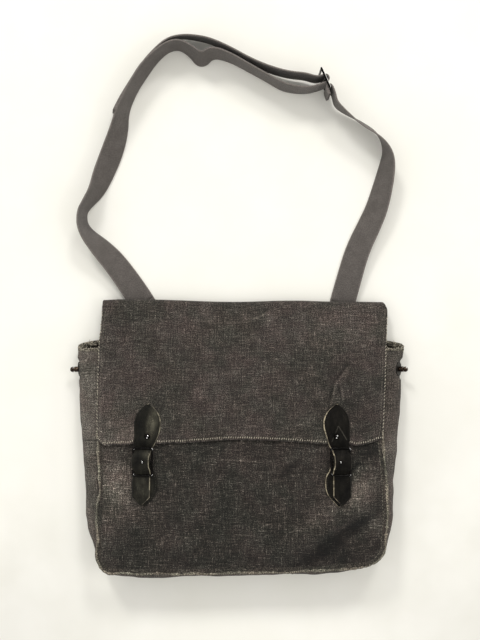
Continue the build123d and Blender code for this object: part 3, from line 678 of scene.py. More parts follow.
# ---- cloth body --------------------------------------------------------------
# outer lines of the sack, each as (y, x) from the mouth down
LEFT_SEAM = (
    (0.14, -0.1868), (0.000, -0.1862), (-0.07, -0.1845), (-0.13, -0.1868), (-0.1735, -0.1862),
)
RIGHT_SEAM = (
    (0.14, 0.1862), (0.000, 0.1868), (-0.06, 0.1915), (-0.11, 0.1928), (-0.14, 0.1905), (-0.1735, 0.188),
)
FRONT_FOLDS = [
    # (from, to, width, height and, for some, how steep one side is): soft folds of the front below the flap
    ((0.076, -0.146), (0.186, -0.074), 0.016, 0.0064, 0.42),
    ((0.06, -0.165), (0.15, -0.11), 0.012, 0.0026), ((0.15, -0.02), (0.186, -0.12), 0.012, -0.003),
    ((-0.17, -0.12), (-0.12, -0.165), 0.01, 0.0026), ((-0.18, -0.06), (-0.15, -0.15), 0.012, -0.002),
    ((0.02, -0.03), (0.07, -0.1), 0.02, 0.0016), ((-0.06, -0.04), (-0.02, -0.12), 0.022, 0.0014),
    ((-0.15, -0.06), (-0.105, -0.09), 0.01, 0.002), ((0.15, -0.052), (0.188, -0.03), 0.009, 0.003, 0.4),
    ((0.16, -0.064), (0.192, -0.056), 0.008, -0.0026),
    ((0.15, -0.112), (0.188, -0.092), 0.009, 0.0024, 0.5),
    ((0.13, -0.125), (0.184, -0.112), 0.008, -0.003), ((-0.182, -0.02), (-0.15, -0.045), 0.01, -0.0022),
]
FLAP_FOLDS = [
    ((0.1456, 0.1044), (0.127, 0.0803), 0.006, 0.0024, 0.4),
    ((0.127, 0.0803), (0.1216, 0.052), 0.006, 0.0022, 0.4),
    ((0.15, 0.1), (0.136, 0.0777), 0.005, 0.0018, 0.4),
    ((0.136, 0.0777), (0.14, 0.0536), 0.005, 0.0017, 0.4),
    ((0.034, 0.176), (0.006, 0.164), 0.006, 0.0014, 0.5), ((0.012, 0.176), (-0.012, 0.13), 0.01, 0.0016),
    ((-0.012, 0.166), (-0.046, 0.12), 0.012, -0.0012), ((-0.17, 0.05), (-0.13, 0.09), 0.014, 0.0013),
    ((0.06, 0.02), (0.11, 0.05), 0.018, -0.001), ((-0.06, 0.02), (-0.01, 0.04), 0.018, 0.0009),
    ((0.165, 0.02), (0.185, 0.06), 0.01, 0.0012),
]


def read_down(table, y):
    """The value at y of a table of (y, value) that runs from the top down."""
    ys, values = zip(*table)
    return np.interp(-np.asarray(y, float), [-v for v in ys], values)


def front_relief(x, y):
    """How far the soft front stands off the plain curve."""
    edge = np.clip((np.abs(x) - 0.150) / 0.037, 0, 1.2)
    low = np.clip((-0.130 - y) / 0.0435, 0, 1.2)
    fall = -0.0022 * edge**2 - 0.0020 * low**2
    soft = 0.0009 * ripple(x, y, 0.085, 5) + 0.00045 * ripple(x, y, 0.034, 6)
    folds = sum(ridge(x, y, *f) for f in FRONT_FOLDS)
    return fall + (soft + folds) * (1 - 0.6 * np.clip(edge, 0, 1)) * smooth((0.010 - y) / 0.05)


def front_surface(x, y):
    """Height of the soft front's outer face."""
    return front_z(y) + front_relief(x, y)


def panel_ends(y):
    """The front's left and right edges at y, with rounded bottom corners."""
    cuts = []
    for radius in (CORNERS["left"], CORNERS["right"]):
        tuck = np.clip(BOTTOM_Y + radius - y, 0, radius)
        cuts.append(radius - np.sqrt(np.maximum(radius**2 - tuck**2, 0)))
    return read_down(LEFT_SEAM, y) + cuts[0], read_down(RIGHT_SEAM, y) - cuts[1]


def raised_bottom(x, y):
    """The same y, with the bottom seam and the cloth near it lifted where the seam rises to the right."""
    near = smooth((-0.060 - y) / 0.11)
    return y + np.interp(x, *zip(*BOTTOM_RISE)) * near


def corner_rows(first, count):
    """Rows up through the rounded bottom corner, closer together near its foot."""
    return BOTTOM_Y + CORNERS["right"] * (1 - np.sin(np.linspace(first, 1.0, count) * math.pi / 2))


def sack_front():
    """The front panel, thicker along the hem of its mouth."""
    ys = np.concatenate([np.linspace(MOUTH_Y, -0.148, 150), corner_rows(0.1, 20)])
    ys = np.unique(np.round(ys, 6))
    left, right = panel_ends(ys)
    share = np.linspace(0, 1, 190)
    x = left[:, None] + (right - left)[:, None] * share
    y = raised_bottom(x, np.broadcast_to(ys[:, None], x.shape))
    hem = smooth((y - (MOUTH_Y - MOUTH_HEM)) / 0.0012)
    z = front_surface(x, y) - CLOTH / 2 - MOUTH_HEM_EXTRA / 2 * hem
    thick = CLOTH + MOUTH_HEM_EXTRA * hem
    return slab("sack_front", np.stack([x, y, z], -1), np.stack([x, y], -1), thick, [CANVAS_FRONT])


def outline(count_side=90, count_bottom=120):
    """Points and outward directions round the front's seam: left side, bottom, right side."""
    parts = []
    for seam, side in ((LEFT_SEAM, "left"), (RIGHT_SEAM, "right")):
        radius, inward = CORNERS[side], 1 if side == "left" else -1
        ys = np.linspace(MOUTH_Y - 0.001, BOTTOM_Y + radius, count_side)
        turn = np.linspace(0, math.pi / 2, 14)[1:-1]
        straight = np.stack([read_down(seam, ys), ys], -1)
        x = straight[-1, 0] + inward * radius * (1 - np.cos(turn))
        corner = np.stack([x, BOTTOM_Y + radius * (1 - np.sin(turn))], -1)
        parts.append((straight, corner, straight[-1, 0] + inward * radius))
    (left, corner_l, first), (right, corner_r, last) = parts
    right, corner_r = right[::-1], corner_r[::-1]
    bottom = np.stack([np.linspace(first, last, count_bottom), np.full(count_bottom, BOTTOM_Y)], -1)
    line = np.concatenate([left, corner_l, bottom, corner_r, right])
    line[:, 1] = raised_bottom(line[:, 0], line[:, 1])
    ahead = unit(np.gradient(line, axis=0))
    outward = np.stack([ahead[:, 1], -ahead[:, 0]], -1)
    return line, outward


# how far the gusset's fold stands out, by y on each side, and under the bottom
FOLD_LEFT = (
    (0.13, 0.0365), (0.09, 0.035), (0.02, 0.0315), (-0.06, 0.0262), (-0.105, 0.0242), (-0.122, 0.02),
    (-0.137, 0.014), (-0.15, 0.01),
)
FOLD_RIGHT = (
    (0.13, 0.0385), (0.1, 0.0358), (0.03, 0.0318), (0.000, 0.0285), (-0.026, 0.025), (-0.042, 0.0211),
    (-0.059, 0.0172), (-0.075, 0.0178), (-0.115, 0.015), (-0.15, 0.0085),
)
FOLD_BOTTOM = (
    (-0.17, 0.0125), (-0.12, 0.0168), (-0.09, 0.0155), (-0.05, 0.0128), (0.000, 0.014), (0.062, 0.0126),
    (0.1, 0.0155), (0.14, 0.015), (0.17, 0.009),
)
GUSSET_SHAPE = (
    # (share out, share of the height
    (0.00, 1.00), (0.2, 0.985), (0.55, 0.93), (0.86, 0.8), (0.99, 0.58), (1.00, 0.38), (0.93, 0.17),
    (0.66, 0.07), (0.3, 0.02), (0.00, 0.00),
)


def flat_of(node):
    """Centre and outward direction of a flat round piece of the CAD."""
    place = np.array(node.matrix_world)
    points = np.array([v.co for v in node.data.vertices]) @ place[:3, :3].T + place[:3, 3]
    centre = points.mean(axis=0)
    direction = np.linalg.svd(points - centre, full_matrices=False)[2][2]
    return centre, direction * np.sign(direction[0] * centre[0])


def pressed_flat(points, centre, outward, radius, fade):
    """Points near the centre moved onto the plane through it, less and less towards radius + fade."""
    away = points - centre
    off = away @ outward
    flat_away = np.linalg.norm(away - off[..., None] * outward, axis=-1)
    near = smooth((radius + fade - flat_away) / fade) * (np.abs(off) < 0.012)
    return points - (off * near)[..., None] * outward


def sack_gusset():
    """The folded band round the sides and the bottom, and the grid of its middle points."""
    line, outward = outline()
    y = line[:, 1]
    side = np.where(line[:, 0] < 0, read_down(FOLD_LEFT, y), read_down(FOLD_RIGHT, y))
    low_share = smooth((BOTTOM_Y + 0.020 - y) / 0.018)
    reach = side * (1 - low_share) + np.interp(line[:, 0], *zip(*FOLD_BOTTOM)) * low_share
    fine = nurbs_line([(a, b, 0.0) for a, b in GUSSET_SHAPE])[::5, :2]
    top = front_surface(line[:, 0], y) - 0.0024
    low = 0.0040
    s, t = np.broadcast_arrays(along(line)[:, None], np.linspace(0, 1, len(fine)))
    middle = np.sin(math.pi * t)
    sag = (0.0006 * ripple(s, t * 0.10, 0.060, 11) + 0.0003 * ripple(s, t * 0.10, 0.022, 12)) * middle
    out = reach[:, None] * fine[:, 0] + sag
    z = low + (top - low)[:, None] * fine[:, 1] + 0.0007 * ripple(s, t * 0.1, 0.045, 13) * middle
    across = line[:, 0, None] + outward[:, 0, None] * out
    up = line[:, 1, None] + outward[:, 1, None] * out
    # the mouth's edge: the under layer reaches further up than the upper one
    near = smooth((y - 0.085) / 0.044)[:, None]
    up = up + near * np.interp(t, (0, 0.30, 0.55, 1.0), (-0.0085, -0.0075, -0.0040, 0.0040))
    mid = np.stack([across, up, np.maximum(z, 0.0022)], -1)
    for side in ("left", "right"):
        centre, out_of = flat_of(nodes[f"gusset_washer_{side}"])
        mid = pressed_flat(mid, centre - out_of * 0.0014, out_of, 0.0102, 0.0055)
    uv = np.stack(np.broadcast_arrays(along(mid[40]) + 0.3, s), -1)
    hem = smooth((up - (up[0, 0] - 0.012)) / 0.001) * (y > 0.09)[:, None]
    thick = CLOTH * 0.9 + 0.0009 * hem
    # the gusset's inside face gets the inside cloth with its painted shade
    return slab("sack_gusset", mid, uv, thick, [CANVAS_GUSSET, CANVAS_INSIDE_SHADED], under_slot=1), mid


def welt(name, height, thick, under=False):
    """The raised seam: layers sewn together and turned outward, wavy along their worn edge."""
    line, outward = outline(150, 200)
    far = along(line)
    z = np.full(len(line), height) if under else front_surface(line[:, 0], line[:, 1]) + height
    wave = 0.0007 * ripple(far, 0.0, 0.030, 21 + under) + 0.0004 * ripple(far, 0.0, 0.011, 22)
    out = np.concatenate([outward, np.zeros((len(line), 1))], axis=1)
    level, swing = (0, 2) if under else (10, 12)
    tip = np.radians(level + swing * ripple(far, 0.0, 0.05, 23))[:, None]
    across = out * np.cos(tip) + UP * np.sin(tip)
    up = UP * np.cos(tip) - out * np.sin(tip)
    centres = np.concatenate([line, z[:, None]], axis=1) + across * (WELT / 2 - 0.0012 + wave)[:, None]
    made = sweep(name, centres, across, up, rounded_ring(WELT, thick, 7), [CANVAS_SEAM])
    belongs(made, "sack", "seam", name + "_welt")
    return line, out, z


front = sack_front()
belongs(front, "sack", "canvas", "front_panel", "mouth_hem")
gusset, gusset_mid = sack_gusset()
belongs(gusset, "sack", "canvas", "gusset_left", "gusset_right", "gusset_bottom", "gusset_hem_left",
        "gusset_hem_right")
seam_line, seam_out, seam_z = welt("front_seam", -0.0008, 0.0026)
welt("back_seam", 0.0014, 0.0024, under=True)

# ---- back and flap: one cloth, from the bottom seam up the back, over the fold and down the front ----
HEM_Y = -0.0028                         # the flap's hem, before it bows
# where each strap leaves the folded top, and a point further along it
STRAP_ENDS = (((-0.135, 0.183), (-0.150, 0.207)), ((0.1425, 0.183), (0.150, 0.212)))
SEWN = 0.076                            # length of strap sewn to the back
TAB_X = {"left": -0.130, "right": 0.1346}       # middles of the leather tabs
HALF_FLAP = 0.193
FOLD_ENDS = (-0.1885, 0.1935)
FOLD_TURN, FOLD_ROWS = 168, 25          # degrees the cloth turns round the fold, and its rows there


def fold_line(x):
    """How far down the folded top sags at x."""
    sag = 0.0078 * np.exp(-(((x + 0.010) / 0.075) ** 2)) + 0.0022 * np.exp(-(((x + 0.190) / 0.016) ** 2))
    sag = sag + 0.0046 * smooth((x - 0.03) / 0.11) + 0.0022 * smooth((x - 0.08) / 0.05)
    return sag + 0.0016 * smooth((x - 0.150) / 0.045)


def near_tabs(x, reach):
    """1 at the middle of each leather tab, falling to 0 beyond the reach."""
    return sum(np.exp(-(((x - middle) / reach) ** 4)) for middle in TAB_X.values())


def hem_drop(x):
    """How far the flap's hem hangs lower towards both sides; under the leather tabs it stays up."""
    drop = 0.0038 * smooth((-0.010 - x) / 0.075) + 0.0050 * smooth((x - 0.004) / 0.145)
    return drop * (1 - near_tabs(x, 0.0145))


def flap_hem(share):
    """The y of the flap's hem: higher in the middle and at the corners."""
    hem = HEM_Y + 0.0034 * np.clip(1 - (share / 0.93) ** 2, 0, 1) ** 0.8
    hem = hem + 0.0086 * smooth((share - 0.82) / 0.20) + 0.0062 * smooth((-0.950 - share) / 0.050)
    return hem - hem_drop(HALF_FLAP * share)


def over_strap_ends(x, y):
    """How far the back is lifted by the strap ends sewn under it."""
    lift = np.zeros_like(x)
    for (ax, ay), (bx, by) in STRAP_ENDS:
        ux, uy = unit(np.array([bx - ax, by - ay]))
        down = (x - ax) * ux + (y - ay) * uy
        off = np.abs(-(x - ax) * uy + (y - ay) * ux)
        inside = smooth((WEB / 2 + 0.0040 - off) / 0.0036) * smooth((down + SEWN + 0.004) / 0.004)
        lift = np.maximum(lift, inside)
    return 0.0023 * lift


def back_rows(share):
    """The back, from the bottom seam up: rows of points, each with its distance up the cloth."""
    straight = np.linspace(BOTTOM_Y + CORNERS["right"], ROLL_Y - 0.001, 130)
    ys = np.concatenate([corner_rows(0.15, 16), straight])
    rows = []
    for y in np.unique(np.round(ys, 6)):
        left, right = panel_ends(np.array([y]))
        top = smooth((y - 0.10) / 0.08)
        left = left[0] * (1 - top) + FOLD_ENDS[0] * top
        right = right[0] * (1 - top) + FOLD_ENDS[1] * top
        x = (left + right) / 2 + (right - left) / 2 * share
        z = 0.0011 + over_strap_ends(x, y) + 0.0020 * smooth((y - 0.165) / 0.016)
        rows.append((np.stack([x, raised_bottom(x, np.full_like(x, y)), z], -1), y - BOTTOM_Y))
    return rows


def fold_rows(share, far):
    """Round the fold, from the back's last row at the distance far."""
    width = FOLD_ENDS[1] - FOLD_ENDS[0]
    rows = []
    for a in np.linspace(-90, FOLD_TURN - 90, FOLD_ROWS + 1)[1:]:
        angle = math.radians(a)
        lift = (a + 90) / FOLD_TURN
        x = FOLD_ENDS[0] + (width + 0.0087 * lift) * (share + 1) / 2
        sag = fold_line(x) * lift
        y = ROLL_Y + ROLL_R * math.cos(angle) - sag
        z = ROLL_Z + (ROLL_R + 0.0006 * ripple(x, 0.0, 0.08, 31)) * math.sin(angle) - 0.12 * sag
        far += ROLL_R * math.radians(FOLD_TURN / (FOLD_ROWS + 1))
        rows.append((np.stack([x, y, np.maximum(z, 0.0031)], -1), far))
    return rows


def flap_rows(share, start, far, down):
    """Down the front, at shares down from the fold's last row of points to the hem."""
    hem = flap_hem(share)
    rows = []
    for f in down:
        left, right = FOLD_ENDS[0] - 0.0038 * smooth(f / 0.4), 0.2022 - 0.0107 * f
        x = (left + right) / 2 + (right - left) / 2 * share
        chamfer = 0.0100 * np.clip((share - 0.955) / 0.045, 0, 1) * np.clip(1 - f / 0.055, 0, 1)
        y = start[:, 1] * (1 - f) + hem * f - chamfer
        span = np.clip((y - MOUTH_Y) / (ROLL_Y - MOUTH_Y), 0, 1)
        bridge = (front_z(MOUTH_Y) + FLAP_LIFT) * (1 - span) + (ROLL_Z + ROLL_R) * span
        bridge = bridge - 0.0016 * np.sin(math.pi * span)
        settled = 0.0017 * smooth((f - 0.80) / 0.17) * (1 - near_tabs(x, 0.021))
        z = np.where(y > MOUTH_Y, bridge, front_surface(x, y) + FLAP_LIFT - settled)
        z = z - 0.0013 * np.clip((np.abs(x) - 0.178) / 0.016, 0, 1.4) ** 2
        waves = 0.0007 * ripple(x, y, 0.090, 41) + 0.0004 * ripple(x, y, 0.036, 42)
        waves = waves + 0.00022 * ripple(x, y, 0.015, 43)
        folds = sum(ridge(x, y, *fold) for fold in FLAP_FOLDS)
        z = z + (waves + folds + 0.0006) * smooth(f / 0.12)
        rows.append((np.stack([x, y, z], -1), far + f * (ROLL_Y - HEM_Y)))
    return rows


def back_and_flap():
    """The cover, the grid of its middle points and the number of the flap's first row."""
    share = np.linspace(-1, 1, 210)
    down = np.concatenate([np.linspace(0, 0.93, 120)[1:], np.linspace(0.93, 1.0, 18)[1:]])
    rows = back_rows(share)
    rows += fold_rows(share, rows[-1][1])
    first = len(rows)
    rows += flap_rows(share, *rows[-1], down)
    mid = np.stack([points for points, _ in rows])
    v = np.broadcast_to(np.array([far for _, far in rows])[:, None], mid.shape[:2])
    hem = np.zeros(mid.shape[:2])
    side = np.minimum(1 + share, 1 - share) * HALF_FLAP
    low = smooth((down - (1 - 0.0125 / 0.184)) / 0.006)[:, None]
    hem[first:] = np.maximum(low, smooth((0.0105 - side) / 0.0008))
    mid[..., 2] += 0.00035 * hem
    uv = np.stack([mid[..., 0], v], -1)
    return slab("back_and_flap", mid, uv, CLOTH + 0.0007 * hem, [CANVAS]), mid, first


cover, cover_mid, flap_start = back_and_flap()
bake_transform(cover)
belongs(cover, None, "canvas", "flap", "flap_hem", "back_panel")

# ---- hems, seams and their threads --------------------------------------------
def threads(name, runs, radius, material, body, slot, arch=0.5 * MM):
    """Stitches that ride on a body."""
    belongs(stitches(name, runs, radius, material, arch), body, slot)


def raised(points, amount):
    """A line lifted out of the front by an amount."""
    return points + UP * amount


def flap_front_line(down):
    """A line across the flap, at a distance up from its hem."""
    middle = cover_mid[flap_start:, 105, 1]
    row = int(np.argmin(np.abs(middle - (middle[-1] + down))))
    return cover_mid[flap_start + row]


def jitter(runs, seed, amount):
    """The stitches with both ends moved a little at random."""
    rng = np.random.default_rng(seed)
    moved = lambda p: p + rng.normal(0, amount, 3) * (1, 1, 0.2)
    return [(moved(a), moved(b), n) for a, b, n in runs]


SKIN = CLOTH / 2 + 0.00035              # from the middle of the flap's cloth to its stitches
hem_line = raised(flap_front_line(0.0019), SKIN)
hem_runs = run_along(hem_line, pitch=0.0031, length=0.0028, slant=1.25)
for column, outside in ((0, -0.0005), (-1, 0.0005)):
    edge = raised(cover_mid[flap_start + 4:-2, column], SKIN) + np.array([outside, 0.0, 0.0])
    hem_runs += run_along(edge, pitch=0.0046, length=0.0032, slant=-0.5 * np.sign(outside))
threads("flap_hem_threads", jitter(hem_runs, 51, 0.00025), 0.00052, PALE_THREAD, "flap", "hem")

side_runs = []
for column in (2, -3):
    row = raised(cover_mid[flap_start + 4:-4, column], SKIN)
    side_runs += run_along(row, pitch=0.0040, length=0.0026)
threads("flap_side_threads", jitter(side_runs, 54, 0.0002), 0.00030, GREY_THREAD, "flap", "hem", 0.4 * MM)

inner_line = raised(flap_front_line(0.0118), SKIN)
inner_runs = run_along(inner_line, pitch=0.0036, length=0.0024)
threads("flap_inner_threads", jitter(inner_runs, 52, 0.0002), 0.00022, DARK_THREAD, "flap", "hem", 0.3 * MM)

inside_x, inside_y = (seam_line - seam_out[:, :2] * 0.0008).T
seam_inside = np.stack([inside_x, inside_y, front_surface(inside_x, inside_y) + 0.0002], -1)
seam_runs = jitter(run_along(seam_inside, pitch=0.0048, length=0.0030), 53, 0.0003)
PALE_FROM_X = 0.178                     # the right side's stitches are thicker and paler
right_runs = [run for run in seam_runs if run[0][0] > PALE_FROM_X]
other_runs = [run for run in seam_runs if run[0][0] <= PALE_FROM_X]
threads("front_seam_threads_right", right_runs, 0.00036, GREY_THREAD, "sack", "seam", 0.4 * MM)
threads("front_seam_threads", other_runs, 0.00030, DARK_THREAD, "sack", "seam", 0.3 * MM)


def rolled_edge(name, line, radius, seed, slot, material):
    """A frayed, lumpy roll of threads along an edge."""
    far = along(line)
    ahead = unit(np.gradient(line, axis=0))
    side = unit(np.cross(ahead, UP + 0.01))
    lump = (ripple(far, 0.0, 0.006, seed) + ripple(far, 0.0, 0.021, seed + 1))[:, None] * 0.25
    grown = 1 + np.clip(lump, -0.6, 0.6)
    ring = [(radius * math.cos(a), radius * math.sin(a)) for a in np.arange(8) * math.pi / 4]
    made = sweep(name, line, side * grown, np.cross(side, ahead) * grown, ring, [material])
    belongs(made, "sack", slot)


EDGE_TUCK = 0.0028                      # how far the worn edge draws in under the flap
tucked = (EDGE_TUCK * smooth((seam_line[:, 1] - 0.004) / 0.012))[:, None]
seam_edge = seam_line + seam_out[:, :2] * (0.0052 - tucked)
seam_edge = np.concatenate([seam_edge, (seam_z + 0.0016)[:, None]], axis=1)
rope_wave = 0.0006 + 0.0014 * smooth((-seam_line[:, 0] - 0.15) / 0.03)
seam_edge[:, 2] += 0.0005 * ripple(along(seam_edge), 0.0, 0.013, 61) - 0.0006 * tucked[:, 0] / EDGE_TUCK
seam_edge[:, :2] += seam_out[:, :2] * (rope_wave * ripple(along(seam_edge), 0.0, 0.030, 62))[:, None]
rolled_edge("front_seam_edge", resampled(seam_edge, 0.0016), 0.0016, 63, "seam", WORN_EDGE)


def gusset_band(side, name, share_from, share_to, wide_from, wide_to, lift, seed):
    """Makes a frayed, folded hem along the gusset's mouth, between shares round it, and gives its edge."""
    mouth = gusset_mid[0 if side == "left" else -1]
    columns = np.arange(len(mouth))
    edge = points_at(mouth, columns, np.linspace(share_from, share_to, 60) * columns[-1])
    edge = edge + np.array([0.0, 0.0012, 0.0])
    far = along(edge)
    deep = np.interp(far, (0, far[-1]), (wide_from, wide_to)) + 0.0004 * ripple(far, 0.0, 0.009, seed)
    grid = []
    for share in np.linspace(0, 1, 7):
        line = edge - np.array([0.0, 1.0, 0.0]) * (deep * share)[:, None]
        bulge = 0.0007 * math.sin(math.pi * share)
        line[:, 2] += lift * MM + bulge + 0.00035 * ripple(line[:, 0], line[:, 1], 0.005, seed)
        grid.append(line)
    mid = np.stack(grid)
    if side == "right":
        mid = mid[:, ::-1]
    belongs(slab(name, mid, mid[..., :2].copy(), 0.0015, [FRAYED]), "sack", "hem")
    return edge


def gusset_mouth(side, seed):
    """Both layers' hems at one mouth of the gusset, with loose threads along them."""
    layers = (("back", 0.42, 0.97, 0.0066, 0.0062, 1.4), ("front", 0.03, 0.40, 0.0036, 0.0030, 1.2))
    edges = [gusset_band(side, f"gusset_{side}_{name}_hem", *sizes, seed + i)
             for i, (name, *sizes) in enumerate(layers)]
    rng = np.random.default_rng(seed + 2)
    for (name, *_), edge in zip(layers, edges):
        loose = []
        for p in resampled(edge, 0.0011):
            p = p + np.array([0.0, -rng.uniform(0, 0.004), 0.0021])
            turn, reach = rng.uniform(-1.2, 1.2), rng.uniform(0.0012, 0.0036)
            step = np.array([math.sin(turn) * reach, math.cos(turn) * reach, rng.normal(0, 0.0003)])
            loose.append((p, p + step, UP))
        threads(f"gusset_{side}_{name}_fray", loose, 0.00040, PALE_THREAD, "sack", "hem", 0.6 * MM)


gusset_mouth("left", 71)
gusset_mouth("right", 81)

# ---- closures: x across, s towards the top and n out of the front, in millimetres ----
CLOSURE_Y = -0.0295
MIRROR = {"left": 1, "right": -1}       # the right closure's outlines are the left one's, mirrored
TILT = math.atan(-(CLOSURE_Y - FRONT_CY) / (float(front_z(CLOSURE_Y)) - FRONT_CZ))
LEATHER_THICK, BASE_THICK = 0.0018, 0.0016
BASE_SPINE, SEAM_IN = 2.7, 2.4          # how far out the base tab sits, and its stitches from its edge
HEM_S = 33.0                            # from here up the pull tabs lie on the flap
# how far each tab's middle line lies outward, as (s, x)
HUMP_SPINE = ((-20, -1.0), (-16, -0.9), (-11, -1.6), (-7, -3.0), (0, -3.3), (7, -2.8), (11, -1.2), (15, -0.2))
TAB_SPINE = {
    "left": (*HUMP_SPINE, (17, 0.0), (20, 0.7), (27, 2.5), (34.5, 4.8), (45, 5.8), (55, 6.1), (78, 6.4)),
    "right": (*HUMP_SPINE, (17, 0.6), (20, 1.6), (27, 2.4), (34.5, 3.4), (43, 4.6), (51, 5.3), (70, 4.6),
              (78, 3.8)),
}
# outlines of the leather, as (half width, s)
TAB_HALF = (
    (10.6, -16.7), (10.7, -12), (10.6, -6), (10.6, 0), (10.6, 6), (10.8, 12), (11.2, 18), (13.0, 21),
    (14.4, 28), (15.3, 35), (16.9, 43), (17.2, 52), (15.2, 61), (10.6, 68), (5.4, 73), (0.25, 76.2),
)
TAIL_HALF = ((11.0, -16.7), (11.0, -30), (11.0, -46.7), (0.6, -57.2))
BASE_HALF = (
    (9.0, -3.2), (10.2, -11), (16.6, -20), (17.2, -33), (14.6, -44), (6.6, -53), (0.3, -59.2),
)
# how far the strap stands out over the buckle, as (s, n)
STRAP_RISE = (
    (-16.7, 3.25), (-13.5, 4.1), (-10, 6.2), (-6, 7.6), (0, 8.1), (6, 7.7), (10, 6.4), (13.5, 4.2),
    (17, 3.2), (20, 3.2),
)
# the right closure takes the copy of the hide darkened as painted shade
HIDES = {"left": LEATHER, "right": LEATHER_SHADED}
HIDE_U = {"left": 0.1, "right": 0.4}      # where each closure lies in its hide
NO_CLOTH = -1.0                         # the height given where there is nothing below


def closure_place(side, x, s, n):
    """Points of a closure, from millimetres in its own directions."""
    y = CLOSURE_Y + (s * math.cos(TILT) - n * math.sin(TILT)) * MM
    z = float(front_z(CLOSURE_Y)) + (s * math.sin(TILT) + n * math.cos(TILT)) * MM
    return np.stack([TAB_X[side] + x * MM, y, z], -1)


def top_of(obj):
    """A function giving the height of an object's upper face at points."""
    tree = BVHTree.FromObject(obj, bpy.context.evaluated_depsgraph_get())

    def height(points):
        """Heights of the face under points, or NO_CLOTH."""
        found = []
        for p in points.reshape(-1, 3):
            hit = tree.ray_cast(Vector((p[0], p[1], 0.2)), Vector((0, 0, -1)))[0]
            found.append(NO_CLOTH if hit is None else hit.z)
        return np.array(found).reshape(points.shape[:-1])

    return height


bpy.context.view_layer.update()
flap_top = top_of(cover)
front_top = top_of(front)


def half_outline(points, rounded=True):
    """The s values of the rows and the half width at each, from points of (half width, s)."""
    if rounded:
        line = nurbs_line([(x, s, 0.0) for x, s in points])
        return line[:, 1], line[:, 0]
    halves, ends = zip(*points)
    s = np.concatenate([np.linspace(a, b, 40)[:-1] for a, b in zip(ends, ends[1:])] + [[ends[-1]]])
    return s, np.interp(-s, [-end for end in ends], halves)


def leather_sheet(name, side, s, half, spine, rise, thick=LEATHER_THICK, pale=1):
    """A leather piece: rows at s, as wide as half each side of the spine.

    rise gives its points from x, s, the share out from the spine and the half width. The outermost strips of
    faces, pale of them, show the raw edge on the worn side.
    """
    m = MIRROR[side]
    share = np.linspace(-1, 1, 75)
    share = np.sign(share) * np.abs(share) ** 0.85
    x = m * np.broadcast_to(spine, s.shape)[:, None] + half[:, None] * share
    ss = s[:, None] + 0 * x
    mid = rise(x, ss, share[None, :] + 0 * x, half[:, None] + 0 * x)
    if s[0] > s[-1]:
        mid, ss, x = mid[::-1], ss[::-1], x[::-1]

    def rim_slots(rim):
        """The raw edge on the worn side; elsewhere the edge is painted dark as shade."""
        worn_side = m * (rim[:, 0] - TAB_X[side]) > 0.0015 - 0.001 * m
        return np.where(worn_side & (pale > 0), 1, 2)

    uv = np.stack([x * MM + HIDE_U[side], ss * MM], -1)
    raw = WORN_RAW_EDGE if side == "left" else RAW_EDGE
    made = slab(name, mid, uv, thick, [HIDES[side], raw, SHADED_EDGE, CREASE_HIGHLIGHT], 1.15, rim_slots)
    strips = mid.shape[1] - 1
    worn = range(strips - pale, strips) if m > 0 else range(pale)
    for face in made.data.polygons[:(mid.shape[0] - 1) * strips]:
        if face.index % strips in worn:
            face.material_index = 1
    return made


def line_distance(p, a, b):
    """Distance from a point to the line between two others."""
    p, a, b = np.array(p), np.array(a), np.array(b)
    t = np.clip(np.dot(p - a, b - a) / np.dot(b - a, b - a), 0, 1)
    return np.linalg.norm(p - a - t * (b - a))


CREASES = {
    # (from, to, width, height) on the pull tabs, in x and s
    "left": [((3.0, 62.0), (2.0, 44.0), 1.5, 0.25), ((8.5, 44.0), (12.0, 28.0), 0.9, 0.30),
             ((3.5, 44.0), (-2.0, 27.0), 0.9, 0.25)],
    "right": [((-3.4, 47.5), (-11.7, 27.0), 0.8, 0.60), ((-2.6, 46.5), (7.8, 29.0), 0.8, 0.55),
              ((-3.0, 45.0), (-4.6, 39.5), 0.8, -0.30)],
}
STUD_X, STUD_S = 6.0, 33.8              # where the stud comes through the tab


def punched(obj, centre, radius):
    """Cut a round hole through an object, square to the front of the closure."""
    hole = bpy.data.meshes.new("hole")
    work = bmesh.new()
    bmesh.ops.create_cone(work, cap_ends=True, segments=24, radius1=radius, radius2=radius, depth=0.02)
    work.to_mesh(hole)
    work.free()
    cutter = bpy.data.objects.new("hole", hole)
    bpy.context.scene.collection.objects.link(cutter)
    cutter.location = centre
    cutter.rotation_euler = (TILT, 0, 0)
    applied(obj, "BOOLEAN", operation="DIFFERENCE", object=cutter, solver="EXACT")
    bpy.data.objects.remove(cutter)


def bends(piece):
    """Bake a piece's transform into its mesh."""
    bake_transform(piece)


